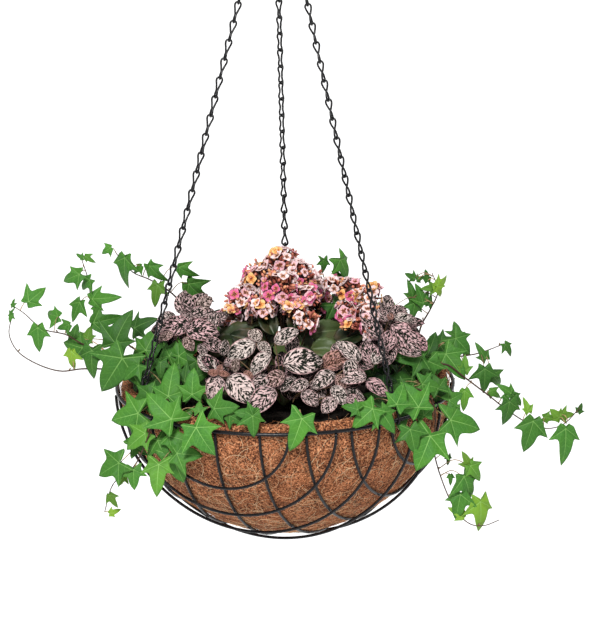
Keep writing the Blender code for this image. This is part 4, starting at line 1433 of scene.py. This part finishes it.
def flower(petals, buds, centre, face, size, look):
    """Four broad pointed petals on a short tube."""
    side, tip, face = leaf_axes(chance.uniform(0, 90), face)
    along, across = grid = blade_grid(5, 4)
    half = 0.56 * np.sin(np.pi * (0.12 + 0.85 * along ** 0.9)) ** 0.7
    cup = chance.uniform(-0.10, 0.25)
    for number in range(4):
        turn = math.radians(90 * number + chance.uniform(-6, 6))
        out = math.cos(turn) * side + math.sin(turn) * tip
        lift = cup * along ** 2 + 0.10 * across ** 2 - 0.03 * np.cos(across * 3) * along
        amounts = (size * half * across, size * (0.06 + 0.94 * along), size * lift)
        add_blade(petals, grid, centre, (face.cross(out), out, face), amounts, look)
    root = centre - face * size * 1.2
    tube(buds, [centre + face * size * 0.04, (centre + root) / 2, root], size * 0.15, sides=6,
         look=(0.2, 0, 0), tip=1.5)


def make_flowers(petal, bud, stem):
    """Domed heads of flowers and buds round a near-black core that paints the shade inside each
    head, each on a stalk.
    """
    petals, buds, stalks = Shape(), Shape(), Shape()
    for x, y, z, radius in FLOWER_HEADS:
        middle = Vector((x, y, z)) * MM
        foot = Vector((x * 0.45, y * 0.35, 20)) * MM
        total = round((radius + 5) ** 2 / 8)
        radius = radius * MM
        joint = middle - Vector((0, 0, radius))
        stalk(stalks, foot, joint, (0, 0, 0.004), 0.0012, (0.95, 0, 0))
        # The core ball is painted shade: it fills each head's inside with near black.
        ball(buds, middle, (radius * 0.70, radius * 0.70), (0, 0, 1), (-3.0, 0, 0), 5, 10)
        for number in range(total):
            polar = math.acos(1 - 1.5 * chance.uniform(0.0, 1.0))
            turn = number * GOLDEN_ANGLE + chance.uniform(-0.4, 0.4)
            face = Vector((math.sin(polar) * math.cos(turn), math.sin(polar) * math.sin(turn),
                           math.cos(polar)))
            out = (face * 0.8 + Vector((chance.uniform(-0.4, 0.4), chance.uniform(-0.4, 0.4),
                                        chance.uniform(-0.2, 0.5)))).normalized()
            if chance.random() < FLOWER_SHARE:
                place = middle + face * (radius * chance.uniform(0.88, 1.12) + 0.0025)
                kind = chance.choices(list(FLOWER_KINDS), list(FLOWER_KINDS.values()))[0]
                look = (kind, chance.random(), 0.0)
                flower(petals, buds, place, out, FLOWER_SIZE * chance.uniform(0.80, 1.12), look)
            else:
                place = middle + face * (radius * chance.uniform(0.84, 1.16) + 0.0015)
                for _ in range(4):
                    size = chance.uniform(0.0010, 0.0018)
                    spread = Vector([chance.uniform(-1, 1) for _ in range(3)]) * 0.0036
                    ball(buds, place + spread, (size, size * 1.8), out + spread * 90,
                         (chance.random(), 0, 0))
            if number % 3 == 0:
                stalk(stalks, joint, place - out * 0.004,
                      face * 0.002, 0.0005, (0.9, 0, 0), sides=5)
    heads = petals.build("flower_petals", petal, PETAL_THICKNESS)
    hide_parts("flowering_plant")
    piece = buds.build("flower_buds", bud)
    piece = stalks.build("flower_stalks", stem)


# Rows of leaves round the stems: (radius, height, lift, length).
FOLIAGE_ROWS = ((0.030, 0.060, 55, 0.052), (0.044, 0.044, 40, 0.056), (0.050, 0.026, 25, 0.050))
# Leaves that show below the flowers: (across, back, up, heading, length, tone).
LARGE_FOLIAGE = [
    (-28, -38, 66, 178, 48, 0.3), (-46, -34, 60, 200, 38, 0.1), (26, -48, 71, 5, 38, 0.6),
    (28, -58, 57, -6, 36, 0.9), (8, -50, 73, 70, 32, 0.0), (56, -30, 68, 20, 38, 0.4),
    (-10, -52, 71, 110, 32, 0.1), (-22, -60, 60, 150, 38, 0.0), (6, -66, 57, -30, 34, 0.1),
    (52, -52, 60, 30, 38, 0.0), (72, -40, 60, 60, 34, 0.1), (-56, -20, 68, 120, 28, 0.3),
]


def make_flower_foliage(finish):
    """Broad leaves round the flowers' stems, and those that show from the front."""
    leaves = Shape()
    for row, (radius, height, lift, length) in enumerate(FOLIAGE_ROWS):
        for number in range(9):
            azimuth = 40 * number + 20 * row + chance.uniform(-8, 8)
            base = around(azimuth, radius * 0.5, height + chance.uniform(-0.006, 0.006))
            face = facing(azimuth, 90 - lift * 0.6, 12)
            wanted = around(azimuth, 1.0, 0.15)
            tip = (wanted - wanted.dot(face) * face).normalized()
            oval_leaf(leaves, base, (tip.cross(face), tip, face), length,
                      length * 0.62, (chance.random(), 0, 0), 0.16, scallops=0.05, crease=0.18)
    for x, y, z, heading, length, tone in LARGE_FOLIAGE:
        base = Vector((x, y, z)) * MM
        axes = leaf_axes(heading, facing(0, 35, 8))
        oval_leaf(leaves, base, axes, length * MM, length * MM * 0.62,
                  (tone, 0, 0), 0.12, scallops=0.05, crease=0.18)
    piece = leaves.build("flower_foliage", finish, FOLIAGE_THICKNESS)


# --- top fitting ---------------------------------------------------------------------------------


def dress_fitting(finish):
    """Gives the model's own hook, swivel and ring their coating."""
    for node in ("top_hook", "swivel_eye", "top_ring"):
        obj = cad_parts[node]
        obj.data.materials.clear()
        obj.data.materials.append(finish)


make_camera()
make_studio()

wire = coated_wire("coated_wire", (0.005, 0.005, 0.006), 0.22)
chain_steel = coated_wire("chain_steel", (0.007, 0.007, 0.008), 0.20)
make_rim(wire)
make_hoops(wire)
for chain in CHAIN_AZIMUTHS:
    make_chain(chain, chain_steel)
dress_fitting(chain_steel)

make_liner(coir_mat_finish())
make_fibres()
make_soil(soil_finish())

ivy_green = ivy_finish()
stem_brown = stem_finish()
for clump in IVY_CLUMPS:
    make_ivy_clump(clump, ivy_green, stem_brown)
make_back_ivy(ivy_green, stem_brown)
for vine in VINES:
    make_vine(vine, ivy_green, stem_brown)

spotted = spotted_leaf_finish()
for plant in SPOTTED_PLANTS:
    make_spotted_plant(plant, spotted, stem_brown)
make_back_spotted_plant(spotted, stem_brown)
make_flowers(petal_finish(), bud_finish(), stem_brown)
make_flower_foliage(dark_leaf_finish())

bpy.context.view_layer.update()
